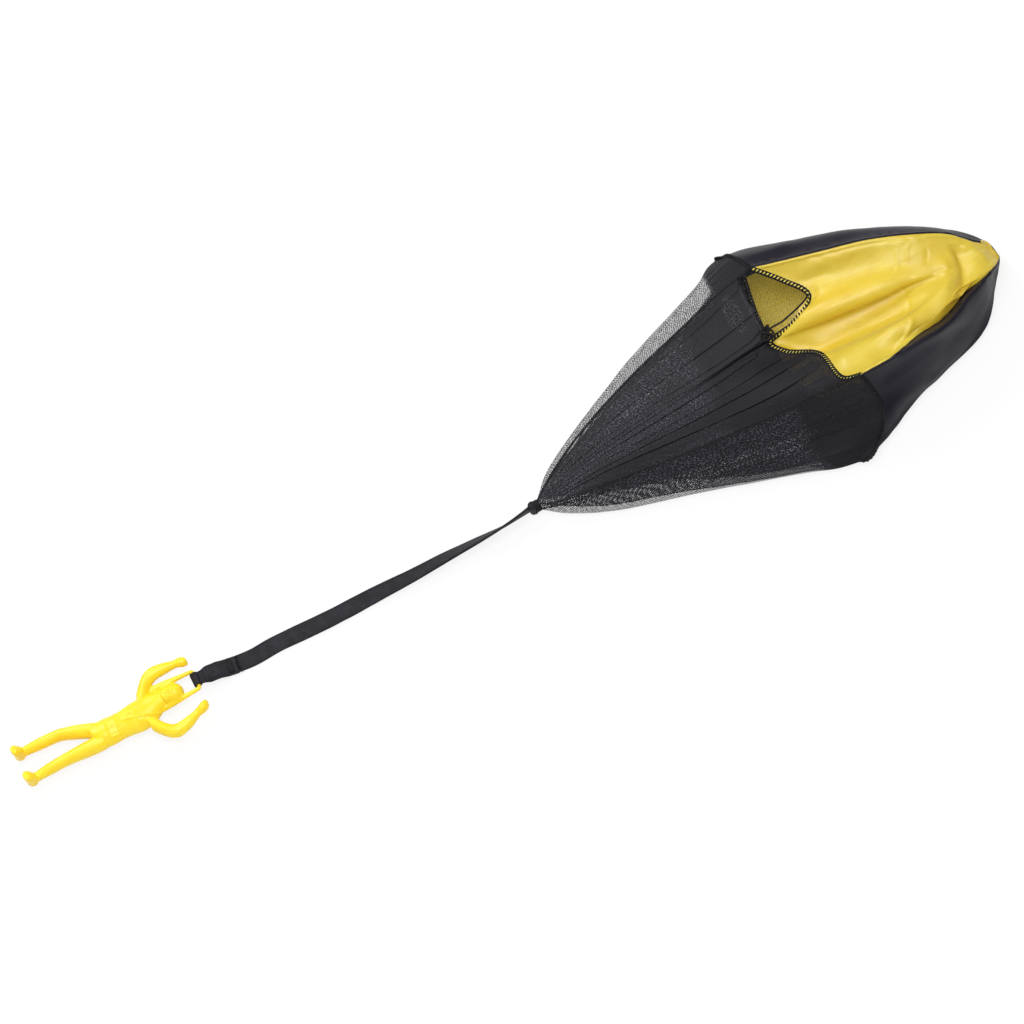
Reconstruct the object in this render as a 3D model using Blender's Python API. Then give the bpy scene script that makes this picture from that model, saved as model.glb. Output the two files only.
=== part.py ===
"""A hand-thrown toy parachute, lying on a table as it comes to rest.

Four satin gores are sewn to four net panels, and four long seams join these
from the crown to the gather. A strap runs on from the gather to a moulded
figure with a ring. Metres, +Z up, the figure's feet towards -X, the crown
towards +X, and the floor at Z = 0.
"""

import math

import bmesh
import bpy
from mathutils import Matrix, Vector
from mathutils.geometry import intersect_point_line

# Canopy layout. A place on the canopy is (along, across, up), in shares of
# these three: along from the gather, across from the middle, up from the floor.
SHOULDER_LENGTH = 0.200
MOUTH_HALF_WIDTH = 0.050
SAG_HEIGHT = 0.020

# Cloth and thread
CLOTH_THICKNESS = 0.0006
NET_THICKNESS = 0.0005
SEAM_RADIUS = 0.00045
CLEARANCE = 0.0003
EDGE_GAP = 0.0006
EDGE_PASSES = 16
EDGE_SHARES = (0.25, 0.5, 0.75)
LEAST_ROW = 0.0005
MOUTH_TUCK = 0.012

# Gather
GATHER_X = 0.0102
GATHER_Y = -0.0025
GATHER_HEIGHT = 0.0046
KNOT_RADIUS = 0.0018
KNOT_HEIGHT = 0.0058
BUNCH_RADIUS = 0.0029
BUNCH_NECK_RADIUS = 0.0022
BUNCH_LENGTH = 0.0027
STITCH_RADIUS = 0.00025
STITCH_TURNS = 3
STITCH_BAND_LENGTH = 0.0012

# Strap
STRAP_WIDTH = 0.008
STRAP_THICKNESS = 0.0012
STRAP_LOOP_WIDTH = 0.006
STRAP_LOOP_WALL = 0.0006
LOOP_CLEARANCE = 0.00035
TACK_LENGTH = 0.0022
TACK_REACH = 0.0145
TACK_LEGS = 7

# Figure. A place on the figure is (along, across, up), in shares of its height
# from the soles, and of its depth for the other two.
FIGURE_HEIGHT = 0.078
FIGURE_DEPTH = 0.010
FIGURE_Y = -0.003
RING_REACH = 0.1626
RING_HALF_WIDTH = 0.0044
RING_HEIGHT = 0.0052
RING_Y = -0.0018
RING_BAR_RADIUS = 0.0009
RING_CORNER_RADIUS = 0.001
RING_SIDE_LENGTH = 0.016
RING_TO_CROWN = 0.0069
MOULD_VOXEL = 0.0007
MOULD_FACES_SHARE = 0.12

# How finely the pieces are drawn
CURVE_STEPS = 8
CORNER_STEPS = 4
STRAP_STEPS = 4
ROW_CROWDING_SHARE = 0.5
GORE_ROWS = 12
NET_ROWS = 8
LIMB_SIDES = 12

# Rows beside a hem, as shares of MOUTH_TUCK, close enough for the turned-in mouth
GORE_HEM_ROW_SHARES = (0.10, 0.35, 0.65, 0.88, 0.97, 1.06, 1.35)
NET_HEM_ROW_SHARES = (0.10, 0.35, 0.70, 1.00, 1.25, 1.50)

# Rails of the gores. Each runs from the hem to the crown.
GORE_RAIL_SHARES = {
    "near_top_seam": (
        (0.748, -0.63, 1.75), (0.81, -0.62, 1.73), (0.89, -0.595, 1.665), (0.95, -0.56, 1.55),
        (1.0, -0.46, 1.39), (1.03, -0.37, 1.28), (1.075, -0.26, 1.065), (1.112, -0.124, 0.75),
        (1.127, -0.052, 0.55),
    ),
    "top_near_slope": (
        (0.712, -0.43, 1.35), (0.775, -0.43, 1.41), (0.835, -0.43, 1.425), (0.93, -0.41, 1.40),
        (1.01, -0.31, 1.29), (1.07, -0.198, 1.07), (1.11, -0.092, 0.775), (1.13, -0.028, 0.51),
    ),
    "top_highlight": (
        (0.694, -0.15, 1.10), (0.755, -0.196, 1.21), (0.825, -0.24, 1.25), (0.92, -0.25, 1.265),
        (1.005, -0.21, 1.215), (1.065, -0.136, 1.05), (1.108, -0.064, 0.79), (1.133, -0.016, 0.46),
    ),
    "top_valley_bank": (
        (0.634, 0.064, 0.85), (0.68, 0.02, 1.0), (0.715, -0.01, 1.075), (0.795, -0.064, 1.14),
        (0.903, -0.09, 1.165), (1.0, -0.11, 1.14), (1.063, -0.076, 1.025), (1.106, -0.036, 0.80),
        (1.134, -0.006, 0.44),
    ),
    "top_valley": (
        (0.614, 0.224, 0.70), (0.64, 0.192, 0.73), (0.71, 0.152, 0.81), (0.79, 0.092, 0.88),
        (0.90, 0.04, 0.975), (1.0, -0.02, 1.075), (1.062, -0.02, 1.02), (1.105, -0.005, 0.80),
        (1.135, 0.012, 0.43),
    ),
    "top_crease": (
        (0.672, 0.252, 0.875), (0.715, 0.224, 1.025), (0.745, 0.196, 1.09), (0.815, 0.136, 1.14),
        (0.905, 0.072, 1.15), (1.0, 0.044, 1.125), (1.06, 0.036, 1.035), (1.104, 0.03, 0.815),
        (1.134, 0.03, 0.43),
    ),
    "top_far_valley": (
        (0.734, 0.392, 1.025), (0.785, 0.368, 1.025), (0.835, 0.332, 1.05), (0.912, 0.266, 1.10),
        (1.002, 0.172, 1.125), (1.06, 0.112, 1.04), (1.102, 0.07, 0.82), (1.133, 0.052, 0.45),
    ),
    "top_far_slope": (
        (0.698, 0.608, 1.20), (0.755, 0.56, 1.25), (0.815, 0.50, 1.275), (0.905, 0.41, 1.275),
        (1.0, 0.28, 1.225), (1.058, 0.196, 1.10), (1.10, 0.115, 0.85), (1.131, 0.08, 0.48),
    ),
    "far_top_seam": (
        (0.65, 0.81, 1.375), (0.695, 0.748, 1.425), (0.80, 0.626, 1.475), (0.90, 0.52, 1.465),
        (1.0, 0.372, 1.35), (1.055, 0.28, 1.175), (1.098, 0.165, 0.84), (1.127, 0.115, 0.52),
    ),
    "far_wall": (
        (0.63, 1.01, 0.95), (0.68, 0.98, 1.025), (0.77, 0.88, 1.10), (0.88, 0.744, 1.10),
        (0.995, 0.52, 1.05), (1.055, 0.37, 0.95), (1.10, 0.235, 0.74), (1.128, 0.145, 0.47),
    ),
    "far_bulge": (
        (0.595, 1.14, 0.425), (0.645, 1.14, 0.50), (0.735, 1.02, 0.60), (0.86, 0.86, 0.64),
        (0.985, 0.62, 0.66), (1.05, 0.445, 0.66), (1.10, 0.29, 0.62), (1.128, 0.155, 0.42),
    ),
    "far_floor": (
        (0.602, 1.09, 0.36), (0.580, 1.095, 0.20), (0.585, 1.09, 0.09), (0.605, 1.085, 0.06),
        (0.70, 1.045, 0.08), (0.84, 0.875, 0.08), (0.97, 0.62, 0.09), (1.04, 0.42, 0.14),
        (1.092, 0.255, 0.27), (1.127, 0.14, 0.37),
    ),
    "far_bottom_seam": (
        (0.634, 1.02, 0.30), (0.625, 1.015, 0.20), (0.60, 1.01, 0.15), (0.572, 1.0, 0.11),
        (0.5655, 0.995, 0.065), (0.573, 1.0, 0.03), (0.60, 1.01, 0.03), (0.70, 0.985, 0.03),
        (0.84, 0.82, 0.03), (0.97, 0.57, 0.035), (1.04, 0.38, 0.08), (1.09, 0.215, 0.18),
        (1.126, 0.10, 0.32),
    ),
    "bottom_far": (
        (0.6185, 0.62, 0.20), (0.615, 0.62, 0.15), (0.59, 0.62, 0.125), (0.565, 0.62, 0.10),
        (0.558, 0.62, 0.06), (0.565, 0.62, 0.0), (0.587, 0.62, 0.0), (0.69, 0.58, 0.0),
        (0.835, 0.49, 0.0), (0.962, 0.35, 0.0), (1.036, 0.22, 0.035), (1.088, 0.12, 0.14),
        (1.126, 0.06, 0.31),
    ),
    "bottom_middle": (
        (0.616, 0.18, 0.195), (0.6125, 0.18, 0.145), (0.5875, 0.18, 0.12), (0.563, 0.18, 0.10),
        (0.556, 0.18, 0.06), (0.563, 0.18, 0.0), (0.585, 0.18, 0.0), (0.685, 0.17, 0.0),
        (0.83, 0.15, 0.0), (0.957, 0.10, 0.0), (1.034, 0.065, 0.03), (1.086, 0.035, 0.13),
        (1.125, 0.012, 0.33),
    ),
    "bottom_near": (
        (0.6275, -0.16, 0.195), (0.624, -0.16, 0.145), (0.60, -0.16, 0.12), (0.575, -0.16, 0.10),
        (0.568, -0.16, 0.06), (0.575, -0.16, 0.0), (0.5975, -0.16, 0.0), (0.69, -0.16, 0.0),
        (0.83, -0.16, 0.0), (0.955, -0.12, 0.0), (1.033, -0.07, 0.03), (1.085, -0.036, 0.13),
        (1.125, -0.02, 0.33),
    ),
    "near_bottom_seam": (
        (0.6525, -0.44, 0.195), (0.649, -0.44, 0.145), (0.625, -0.45, 0.125), (0.601, -0.46, 0.105),
        (0.5945, -0.46, 0.065), (0.602, -0.46, 0.03), (0.625, -0.46, 0.03), (0.71, -0.43, 0.03),
        (0.835, -0.38, 0.03), (0.96, -0.28, 0.03), (1.035, -0.17, 0.05), (1.088, -0.088, 0.15),
        (1.125, -0.044, 0.35),
    ),
    "near_floor": (
        (0.635, -0.82, 0.21), (0.628, -0.824, 0.14), (0.630, -0.826, 0.065), (0.645, -0.82, 0.035),
        (0.73, -0.72, 0.035), (0.84, -0.59, 0.035), (0.965, -0.41, 0.04), (1.038, -0.27, 0.09),
        (1.09, -0.136, 0.20), (1.125, -0.056, 0.38),
    ),
    "near_bulge": (
        (0.6775, -1.076, 0.175), (0.76, -0.934, 0.15), (0.825, -0.80, 0.15), (0.91, -0.68, 0.15),
        (1.015, -0.54, 0.16), (1.06, -0.41, 0.21), (1.095, -0.22, 0.30), (1.126, -0.068, 0.42),
    ),
    "near_lobe": (
        (0.725, -0.99, 0.34), (0.815, -0.835, 0.32), (0.90, -0.70, 0.30), (0.995, -0.56, 0.29),
        (1.055, -0.42, 0.30), (1.097, -0.21, 0.37), (1.126, -0.07, 0.44),
    ),
    "near_low_wall": (
        (0.7525, -0.896, 0.60), (0.815, -0.80, 0.57), (0.90, -0.68, 0.52), (0.995, -0.55, 0.425),
        (1.055, -0.40, 0.425), (1.10, -0.19, 0.45), (1.1265, -0.068, 0.46),
    ),
    "near_wall": (
        (0.762, -0.772, 0.90), (0.855, -0.706, 0.925), (0.935, -0.62, 0.875), (1.012, -0.49, 0.775),
        (1.068, -0.33, 0.675), (1.105, -0.16, 0.575), (1.127, -0.062, 0.50),
    ),
}

# Rails of the nets. Each goes on from the gore rail's hem point to the gather.
NET_RAIL_SHARES = {
    "near_top_seam": (
        (0.62, -0.586, 1.525), (0.47, -0.49, 1.225), (0.32, -0.38, 0.975), (0.16, -0.246, 0.70),
        (0.06, -0.16, 0.48), (0.015, -0.08, 0.33),
    ),
    "top_near_slope": (
        (0.60, -0.40, 1.22), (0.47, -0.328, 1.04), (0.32, -0.252, 0.84), (0.16, -0.172, 0.64),
        (0.06, -0.128, 0.46), (0.015, -0.072, 0.335),
    ),
    "top_highlight": (
        (0.59, -0.144, 1.0), (0.47, -0.13, 0.865), (0.32, -0.112, 0.725), (0.16, -0.096, 0.58),
        (0.06, -0.092, 0.445), (0.015, -0.064, 0.34),
    ),
    "top_valley_bank": (
        (0.55, 0.058, 0.80), (0.46, 0.04, 0.745), (0.32, 0.01, 0.65), (0.16, -0.024, 0.54),
        (0.06, -0.056, 0.435), (0.015, -0.056, 0.345),
    ),
    "top_valley": (
        (0.543, 0.204, 0.685), (0.46, 0.16, 0.66), (0.32, 0.10, 0.61), (0.16, 0.04, 0.52),
        (0.06, -0.024, 0.43), (0.015, -0.048, 0.345),
    ),
    "top_crease": (
        (0.575, 0.24, 0.815), (0.47, 0.204, 0.74), (0.32, 0.16, 0.65), (0.16, 0.09, 0.53),
        (0.06, 0.008, 0.43), (0.015, -0.042, 0.345),
    ),
    "top_far_valley": (
        (0.61, 0.372, 0.95), (0.48, 0.32, 0.84), (0.32, 0.26, 0.70), (0.16, 0.16, 0.55),
        (0.06, 0.04, 0.43), (0.015, -0.034, 0.34),
    ),
    "top_far_slope": (
        (0.59, 0.588, 1.10), (0.47, 0.516, 0.95), (0.32, 0.40, 0.775), (0.16, 0.23, 0.575),
        (0.06, 0.072, 0.43), (0.015, -0.026, 0.335),
    ),
    "far_top_seam": (
        (0.56, 0.76, 1.25), (0.46, 0.66, 1.09), (0.32, 0.52, 0.875), (0.16, 0.30, 0.625),
        (0.06, 0.10, 0.44), (0.015, -0.018, 0.33),
    ),
    "far_wall": (
        (0.565, 0.986, 0.84), (0.46, 0.86, 0.675), (0.32, 0.66, 0.55), (0.16, 0.38, 0.43),
        (0.06, 0.152, 0.34), (0.015, -0.006, 0.28),
    ),
    "far_bulge": (
        (0.575, 1.136, 0.365), (0.53, 1.092, 0.24), (0.46, 0.99, 0.21), (0.32, 0.766, 0.20),
        (0.16, 0.436, 0.20), (0.06, 0.19, 0.22), (0.015, 0.004, 0.23),
    ),
    "far_floor": (
        (0.574, 1.085, 0.37), (0.55, 1.07, 0.22), (0.52, 1.035, 0.08), (0.46, 0.945, 0.06),
        (0.32, 0.725, 0.06), (0.16, 0.41, 0.06), (0.06, 0.17, 0.115), (0.015, 0.002, 0.185),
    ),
    "far_bottom_seam": (
        (0.622, 1.017, 0.36), (0.598, 1.01, 0.37), (0.567, 0.995, 0.31), (0.543, 0.97, 0.15),
        (0.515, 0.93, 0.035), (0.46, 0.85, 0.03), (0.32, 0.645, 0.03), (0.16, 0.36, 0.03),
        (0.06, 0.14, 0.085), (0.015, -0.006, 0.15),
    ),
    "bottom_far": (
        (0.6155, 0.62, 0.25), (0.588, 0.62, 0.275), (0.558, 0.615, 0.24), (0.537, 0.605, 0.11),
        (0.516, 0.585, 0.0), (0.32, 0.40, 0.0), (0.16, 0.215, 0.0), (0.06, 0.07, 0.06),
        (0.015, -0.022, 0.12),
    ),
    "bottom_middle": (
        (0.613, 0.18, 0.25), (0.585, 0.18, 0.275), (0.555, 0.18, 0.24), (0.535, 0.18, 0.11),
        (0.515, 0.175, 0.0), (0.32, 0.13, 0.0), (0.16, 0.06, 0.0), (0.06, 0.0, 0.055),
        (0.015, -0.04, 0.115),
    ),
    "bottom_near": (
        (0.6245, -0.16, 0.25), (0.597, -0.16, 0.275), (0.567, -0.16, 0.24), (0.547, -0.16, 0.11),
        (0.527, -0.155, 0.0), (0.32, -0.11, 0.0), (0.16, -0.08, 0.0), (0.06, -0.064, 0.055),
        (0.015, -0.058, 0.115),
    ),
    "near_bottom_seam": (
        (0.6495, -0.44, 0.25), (0.622, -0.45, 0.27), (0.593, -0.455, 0.24), (0.573, -0.45, 0.11),
        (0.553, -0.44, 0.03), (0.32, -0.30, 0.03), (0.16, -0.20, 0.03), (0.06, -0.12, 0.075),
        (0.015, -0.078, 0.13),
    ),
    "near_floor": (
        (0.632, -0.818, 0.26), (0.61, -0.81, 0.24), (0.59, -0.79, 0.13), (0.57, -0.76, 0.05),
        (0.47, -0.62, 0.035),
        (0.32, -0.46, 0.035), (0.16, -0.31, 0.035), (0.06, -0.188, 0.10), (0.015, -0.092, 0.16),
    ),
    "near_bulge": (
        (0.615, -1.02, 0.14), (0.56, -0.93, 0.125), (0.47, -0.81, 0.125), (0.32, -0.61, 0.125),
        (0.16, -0.42, 0.125), (0.06, -0.228, 0.14), (0.015, -0.10, 0.20),
    ),
    "near_lobe": (
        (0.62, -0.965, 0.38), (0.47, -0.79, 0.26), (0.32, -0.60, 0.20), (0.16, -0.41, 0.18),
        (0.06, -0.228, 0.18), (0.015, -0.10, 0.22),
    ),
    "near_low_wall": (
        (0.62, -0.90, 0.50), (0.47, -0.76, 0.38), (0.32, -0.58, 0.30), (0.16, -0.40, 0.25),
        (0.06, -0.225, 0.24), (0.015, -0.10, 0.235),
    ),
    "near_wall": (
        (0.62, -0.772, 0.78), (0.47, -0.68, 0.65), (0.32, -0.52, 0.525), (0.16, -0.35, 0.40),
        (0.06, -0.21, 0.325), (0.015, -0.096, 0.27),
    ),
}

# Each side of the canopy: its rails from seam to seam, and how many columns of faces cross it
SIDES = {
    "top": (
        ("near_top_seam", "top_near_slope", "top_highlight", "top_valley_bank", "top_valley",
         "top_crease", "top_far_valley", "top_far_slope", "far_top_seam"), 18, 12),
    "far": (("far_top_seam", "far_wall", "far_bulge", "far_floor", "far_bottom_seam"), 12, 8),
    "bottom": (
        ("far_bottom_seam", "bottom_far", "bottom_middle", "bottom_near", "near_bottom_seam"), 14, 10),
    "near": (
        ("near_bottom_seam", "near_floor", "near_bulge", "near_lobe", "near_low_wall", "near_wall",
         "near_top_seam"), 14, 14),
}
GORE_COLOURS = {
    "top": "yellow_satin", "far": "black_satin", "bottom": "yellow_satin", "near": "black_satin",
}
SEAM_RAILS = ("near_top_seam", "far_top_seam", "far_bottom_seam", "near_bottom_seam")

# The strap's route: the share of the reach to the ring, the share of its side drift, and its
# roll in degrees. It stands on edge at the gather and lies flat at the figure.
STRAP_DRIFT = 0.001
STRAP_ROUTE_SHARES = (
    (0.0135, 0.0, 90.0),
    (0.037, -0.6, 84.0),
    (0.090, -1.5, 66.0),
    (0.172, -1.3, 46.0),
    (0.283, -1.2, 32.0),
    (0.375, -1.3, 24.0),
    (0.492, -0.7, 7.0),
    (0.615, -0.8, 3.0),
    (0.769, 0.2, 0.0),
    (0.843, -0.3, 0.0),
)
# Its last stretch climbs to the ring: the same two shares, and the share of the climb.
STRAP_RISE_SHARES = ((0.907, 0.7, 0.10), (0.944, 0.9, 0.55), (0.9914, 0.7, 1.0))

# Parts of the figure: (along, across, up, half width, half depth)
TORSO_SHARES = (
    (0.435, 0.16, 0.50, 0.46, 0.38), (0.470, -0.17, 0.50, 0.58, 0.43), (0.519, -0.18, 0.51, 0.65, 0.46),
    (0.609, -0.19, 0.51, 0.61, 0.43), (0.712, -0.20, 0.54, 0.71, 0.50), (0.776, -0.16, 0.53, 0.70, 0.45),
    (0.830, -0.06, 0.52, 0.46, 0.38), (0.860, 0.02, 0.52, 0.32, 0.32),
)
HEAD_SHARES = (
    (0.862, 0.02, 0.52, 0.20, 0.22), (0.880, 0.02, 0.54, 0.36, 0.40), (0.915, 0.02, 0.55, 0.42, 0.46),
    (0.950, 0.02, 0.53, 0.40, 0.42), (0.975, 0.02, 0.52, 0.24, 0.26),
)
HELMET_SHARES = (
    (0.884, 0.02, 0.42, 0.40, 0.34), (0.893, 0.02, 0.44, 0.49, 0.42), (0.915, 0.02, 0.47, 0.48, 0.44),
    (0.950, 0.02, 0.50, 0.46, 0.46), (0.980, 0.02, 0.51, 0.36, 0.38), (0.998, 0.02, 0.52, 0.20, 0.22),
    (1.003, 0.02, 0.52, 0.08, 0.08),
)
LIMB_SHARES = {
    "far_leg": (
        (0.030, 0.88, 0.36, 0.22, 0.26), (0.060, 0.87, 0.40, 0.21, 0.23), (0.150, 0.84, 0.44, 0.26, 0.28),
        (0.262, 0.78, 0.48, 0.27, 0.30), (0.330, 0.62, 0.49, 0.31, 0.34), (0.400, 0.40, 0.50, 0.35, 0.38),
        (0.480, 0.14, 0.50, 0.38, 0.40),
    ),
    "near_leg": (
        (0.030, -0.48, 0.36, 0.22, 0.26), (0.060, -0.47, 0.40, 0.21, 0.23), (0.150, -0.43, 0.44, 0.26, 0.28),
        (0.237, -0.42, 0.48, 0.27, 0.30), (0.320, -0.43, 0.49, 0.31, 0.34), (0.400, -0.46, 0.50, 0.35, 0.38),
        (0.480, -0.48, 0.50, 0.38, 0.40),
    ),
    "far_arm": (
        (0.752, 0.26, 0.54, 0.44, 0.38), (0.800, 0.72, 0.55, 0.46, 0.36), (0.850, 1.14, 0.56, 0.36, 0.32),
        (0.895, 1.28, 0.57, 0.30, 0.30), (0.960, 1.26, 0.58, 0.25, 0.26), (1.022, 1.20, 0.58, 0.17, 0.20),
        (1.050, 1.16, 0.58, 0.23, 0.25), (1.078, 1.11, 0.58, 0.21, 0.22), (1.090, 1.09, 0.58, 0.11, 0.12),
    ),
    "near_arm": (
        (0.752, -0.68, 0.54, 0.44, 0.38), (0.798, -1.12, 0.55, 0.46, 0.36), (0.845, -1.52, 0.56, 0.36, 0.32),
        (0.886, -1.65, 0.57, 0.30, 0.30), (0.955, -1.54, 0.58, 0.26, 0.26), (1.022, -1.33, 0.58, 0.18, 0.20),
        (1.052, -1.24, 0.58, 0.23, 0.25), (1.080, -1.16, 0.58, 0.21, 0.22), (1.093, -1.12, 0.58, 0.11, 0.12),
    ),
}
SHOE_SHARES = (
    (0.034, 0.0, 0.10, 0.21, 0.028), (0.036, 0.0, 0.22, 0.24, 0.034), (0.034, 0.0, 0.60, 0.25, 0.032),
    (0.024, 0.0, 0.92, 0.26, 0.024), (0.017, 0.0, 1.08, 0.20, 0.016),
)
SHOE_ACROSS_SHARES = {"far_shoe": 0.88, "near_shoe": -0.47}
POUCH_SHARES = (
    (0.566, -0.42, 0.89, 0.030, 0.18, 0.12), (0.566, 0.04, 0.89, 0.030, 0.18, 0.12),
    (0.660, 0.10, 0.92, 0.032, 0.20, 0.13),
)


def clear_scene():
    for obj in list(bpy.data.objects):
        bpy.data.objects.remove(obj, do_unlink=True)


def make_material(name, colour, roughness, sheen=0.0):
    material = bpy.data.materials.new(name)
    material.use_nodes = True
    shader = material.node_tree.nodes["Principled BSDF"]
    shader.inputs["Base Color"].default_value = (*colour, 1.0)
    shader.inputs["Roughness"].default_value = roughness
    shader.inputs["Metallic"].default_value = 0.0
    shader.inputs["Sheen Weight"].default_value = sheen
    material.diffuse_color = (*colour, 1.0)
    return material


def make_materials():
    return {
        "yellow_satin": make_material("yellow_satin", (0.72, 0.49, 0.04), 0.38, 0.3),
        "black_satin": make_material("black_satin", (0.02, 0.018, 0.026), 0.36, 0.3),
        "black_net": make_material("black_net", (0.03, 0.03, 0.035), 0.7),
        "thread": make_material("thread", (0.02, 0.02, 0.02), 0.8),
        "strap_ribbon": make_material("strap_ribbon", (0.02, 0.02, 0.028), 0.75),
        "yellow_plastic": make_material("yellow_plastic", (0.9, 0.56, 0.02), 0.3),
    }


def make_frame(name, location, parent=None):
    """An empty that carries the pieces of one moving body."""
    empty = bpy.data.objects.new(name, None)
    empty.location = location if parent is None else location - parent.location
    bpy.context.scene.collection.objects.link(empty)
    empty.parent = parent
    return empty


def place(obj, frame, origin, material):
    """Links a piece whose shape is drawn in world places, and hangs it on its body's frame."""
    obj.data.materials.append(material)
    bpy.context.scene.collection.objects.link(obj)
    obj.parent = frame
    obj.matrix_parent_inverse = Matrix.Translation(-origin)
    return obj


def smooth_curve(points):
    """A centripetal Catmull-Rom curve through the points, as a list of close points."""
    points = [Vector(point) for point in points]
    before = points[0] * 2 - points[1]
    after = points[-1] * 2 - points[-2]
    full = [before, *points, after]
    curve = []
    for a, b, c, d in zip(full, full[1:], full[2:], full[3:]):
        knots = [0.0]
        for start, end in ((a, b), (b, c), (c, d)):
            knots.append(knots[-1] + math.sqrt((end - start).length))
        for step in range(CURVE_STEPS):
            t = knots[1] + (knots[2] - knots[1]) * step / CURVE_STEPS
            curve.append(blend_knots((a, b, c, d), knots, t))
    curve.append(points[-1])
    return curve


def blend_knots(points, knots, t):
    """One point of a Catmull-Rom span, by repeated linear blends between its knots."""
    level = points
    for spans in (((0, 1), (1, 2), (2, 3)), ((0, 2), (1, 3)), ((1, 2),)):
        level = [
            start.lerp(end, (t - knots[low]) / (knots[high] - knots[low]))
            for start, end, (low, high) in zip(level, level[1:], spans)
        ]
    return level[0]


def reaches_of(points):
    """How far each point lies along the line of points."""
    reaches = [0.0]
    for start, end in zip(points, points[1:]):
        reaches.append(reaches[-1] + (end - start).length)
    return reaches


def sample(points, wanted):
    """The places at the wanted reaches along the line of points."""
    reaches = reaches_of(points)
    found = []
    span = 0
    for reach in wanted:
        while span < len(points) - 2 and reaches[span + 1] < reach:
            span += 1
        share = (reach - reaches[span]) / (reaches[span + 1] - reaches[span])
        found.append(points[span].lerp(points[span + 1], share))
    return found


def even_sample(points, count, start_trim=0.0, end_trim=0.0):
    """Evenly spaced places along the line of points, short of its ends by the trims."""
    total = reaches_of(points)[-1]
    run = total - start_trim - end_trim
    return sample(points, [start_trim + run * i / (count - 1) for i in range(count)])


def canopy_place(shares):
    along, across, up = shares
    return Vector((GATHER_X + along * SHOULDER_LENGTH, across * MOUTH_HALF_WIDTH, up * SAG_HEIGHT))


def rail_curve(name, rail_shares):
    """The smooth line through a rail's places, nowhere lower than it can lie on the floor."""
    least = SEAM_RADIUS if name in SEAM_RAILS else CLOTH_THICKNESS / 2
    line = smooth_curve([canopy_place(shares) for shares in rail_shares])
    return [Vector((point.x, point.y, max(point.z, least))) for point in line]


def gore_rail(name):
    return rail_curve(name, GORE_RAIL_SHARES[name])


def net_rail(name):
    return rail_curve(name, (GORE_RAIL_SHARES[name][0], *NET_RAIL_SHARES[name]))


def hem_row(rails):
    return smooth_curve([rail[0] for rail in rails])


def row_reaches(rail, near_hem, count):
    """Close rows beside the hem, then ones that draw together towards the rail's far end."""
    total = reaches_of(rail)[-1]
    close = [SEAM_RADIUS, *(share * MOUTH_TUCK for share in near_hem)]
    left = total - close[-1]
    shares = [1 - (1 - (i + 1) / count) ** (1 + ROW_CROWDING_SHARE) for i in range(count)]
    return close + [close[-1] + left * share for share in shares]


def distance_to(point, line):
    """The least distance from the point to the line of points."""
    least = (point - line[0]).length
    for start, end in zip(line, line[1:]):
        _, share = intersect_point_line(point, start, end)
        near = start.lerp(end, min(max(share, 0.0), 1.0))
        least = min(least, (point - near).length)
    return least


def clear_reach(line, seam):
    """How far along the line its points keep clear of the seam for good."""
    gap = SEAM_RADIUS + EDGE_GAP
    search = min(MOUTH_TUCK, reaches_of(line)[-1]) / 2
    steps = math.ceil(search / EDGE_GAP * 4)
    clear = 0.0
    for i, place in enumerate(sample(line, [search * i / steps for i in range(steps)])):
        if distance_to(place, seam) < gap:
            clear = search * (i + 1) / steps
    return clear


def trimmed_row(row, start_seam, end_seam, count):
    """Evenly spaced places across a panel, clear of the seams at its two sides."""
    line = smooth_curve(row)
    start_trim = clear_reach(line, start_seam)
    end_trim = clear_reach(line[::-1], end_seam)
    places = even_sample(line, count, start_trim, end_trim)
    return [Vector((place.x, place.y, max(place.z, CLOTH_THICKNESS / 2))) for place in places]


def clear_starts(columns, hem):
    """Where each column starts, so that the edge between two columns is clear of the hem too."""
    starts = [clear_reach(column, hem) for column in columns]
    for _ in range(EDGE_PASSES):
        for i in range(len(columns) - 1):
            low = sample(columns[i], [starts[i]])[0]
            high = sample(columns[i + 1], [starts[i + 1]])[0]
            nearest = min(distance_to(low.lerp(high, share), hem) for share in EDGE_SHARES)
            if nearest < SEAM_RADIUS + EDGE_GAP / 2:
                starts[i] += EDGE_GAP / 4
                starts[i + 1] += EDGE_GAP / 4
    return starts


def trimmed_column(column, start):
    """A column of the panel with its first places moved on to its start, in their order."""
    wanted = []
    for reach in reaches_of(column):
        least = wanted[-1] + LEAST_ROW if wanted else start
        wanted.append(max(reach, least))
    return sample(column, [*wanted[:-1], reaches_of(column)[-1]])


def panel_grid(rails, seams, hem, near_hem, row_count, column_count):
    """Rows of points across a panel, clear of its hem and of its two seams."""
    columns = [sample(rail, row_reaches(rail, near_hem, row_count)) for rail in rails]
    rows = [trimmed_row(row, *seams, column_count + 1) for row in zip(*columns)]
    columns = list(zip(*rows))
    starts = clear_starts(columns, hem)
    return list(zip(*map(trimmed_column, columns, starts)))


def seam_points(gore, net):
    """A long seam's places, from the crown over the hem to the gather."""
    down = sample(gore, row_reaches(gore, GORE_HEM_ROW_SHARES, GORE_ROWS))
    on = sample(net, row_reaches(net, NET_HEM_ROW_SHARES, NET_ROWS))
    return [*reversed(down), gore[0], *on]


def hem_points(rails, seams, count):
    """A hem's places from seam to seam, short of both."""
    line = hem_row(rails)
    start_trim = clear_reach(line, seams[0]) + SEAM_RADIUS
    end_trim = clear_reach(line[::-1], seams[1]) + SEAM_RADIUS
    return even_sample(line, count, start_trim, end_trim)


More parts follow.
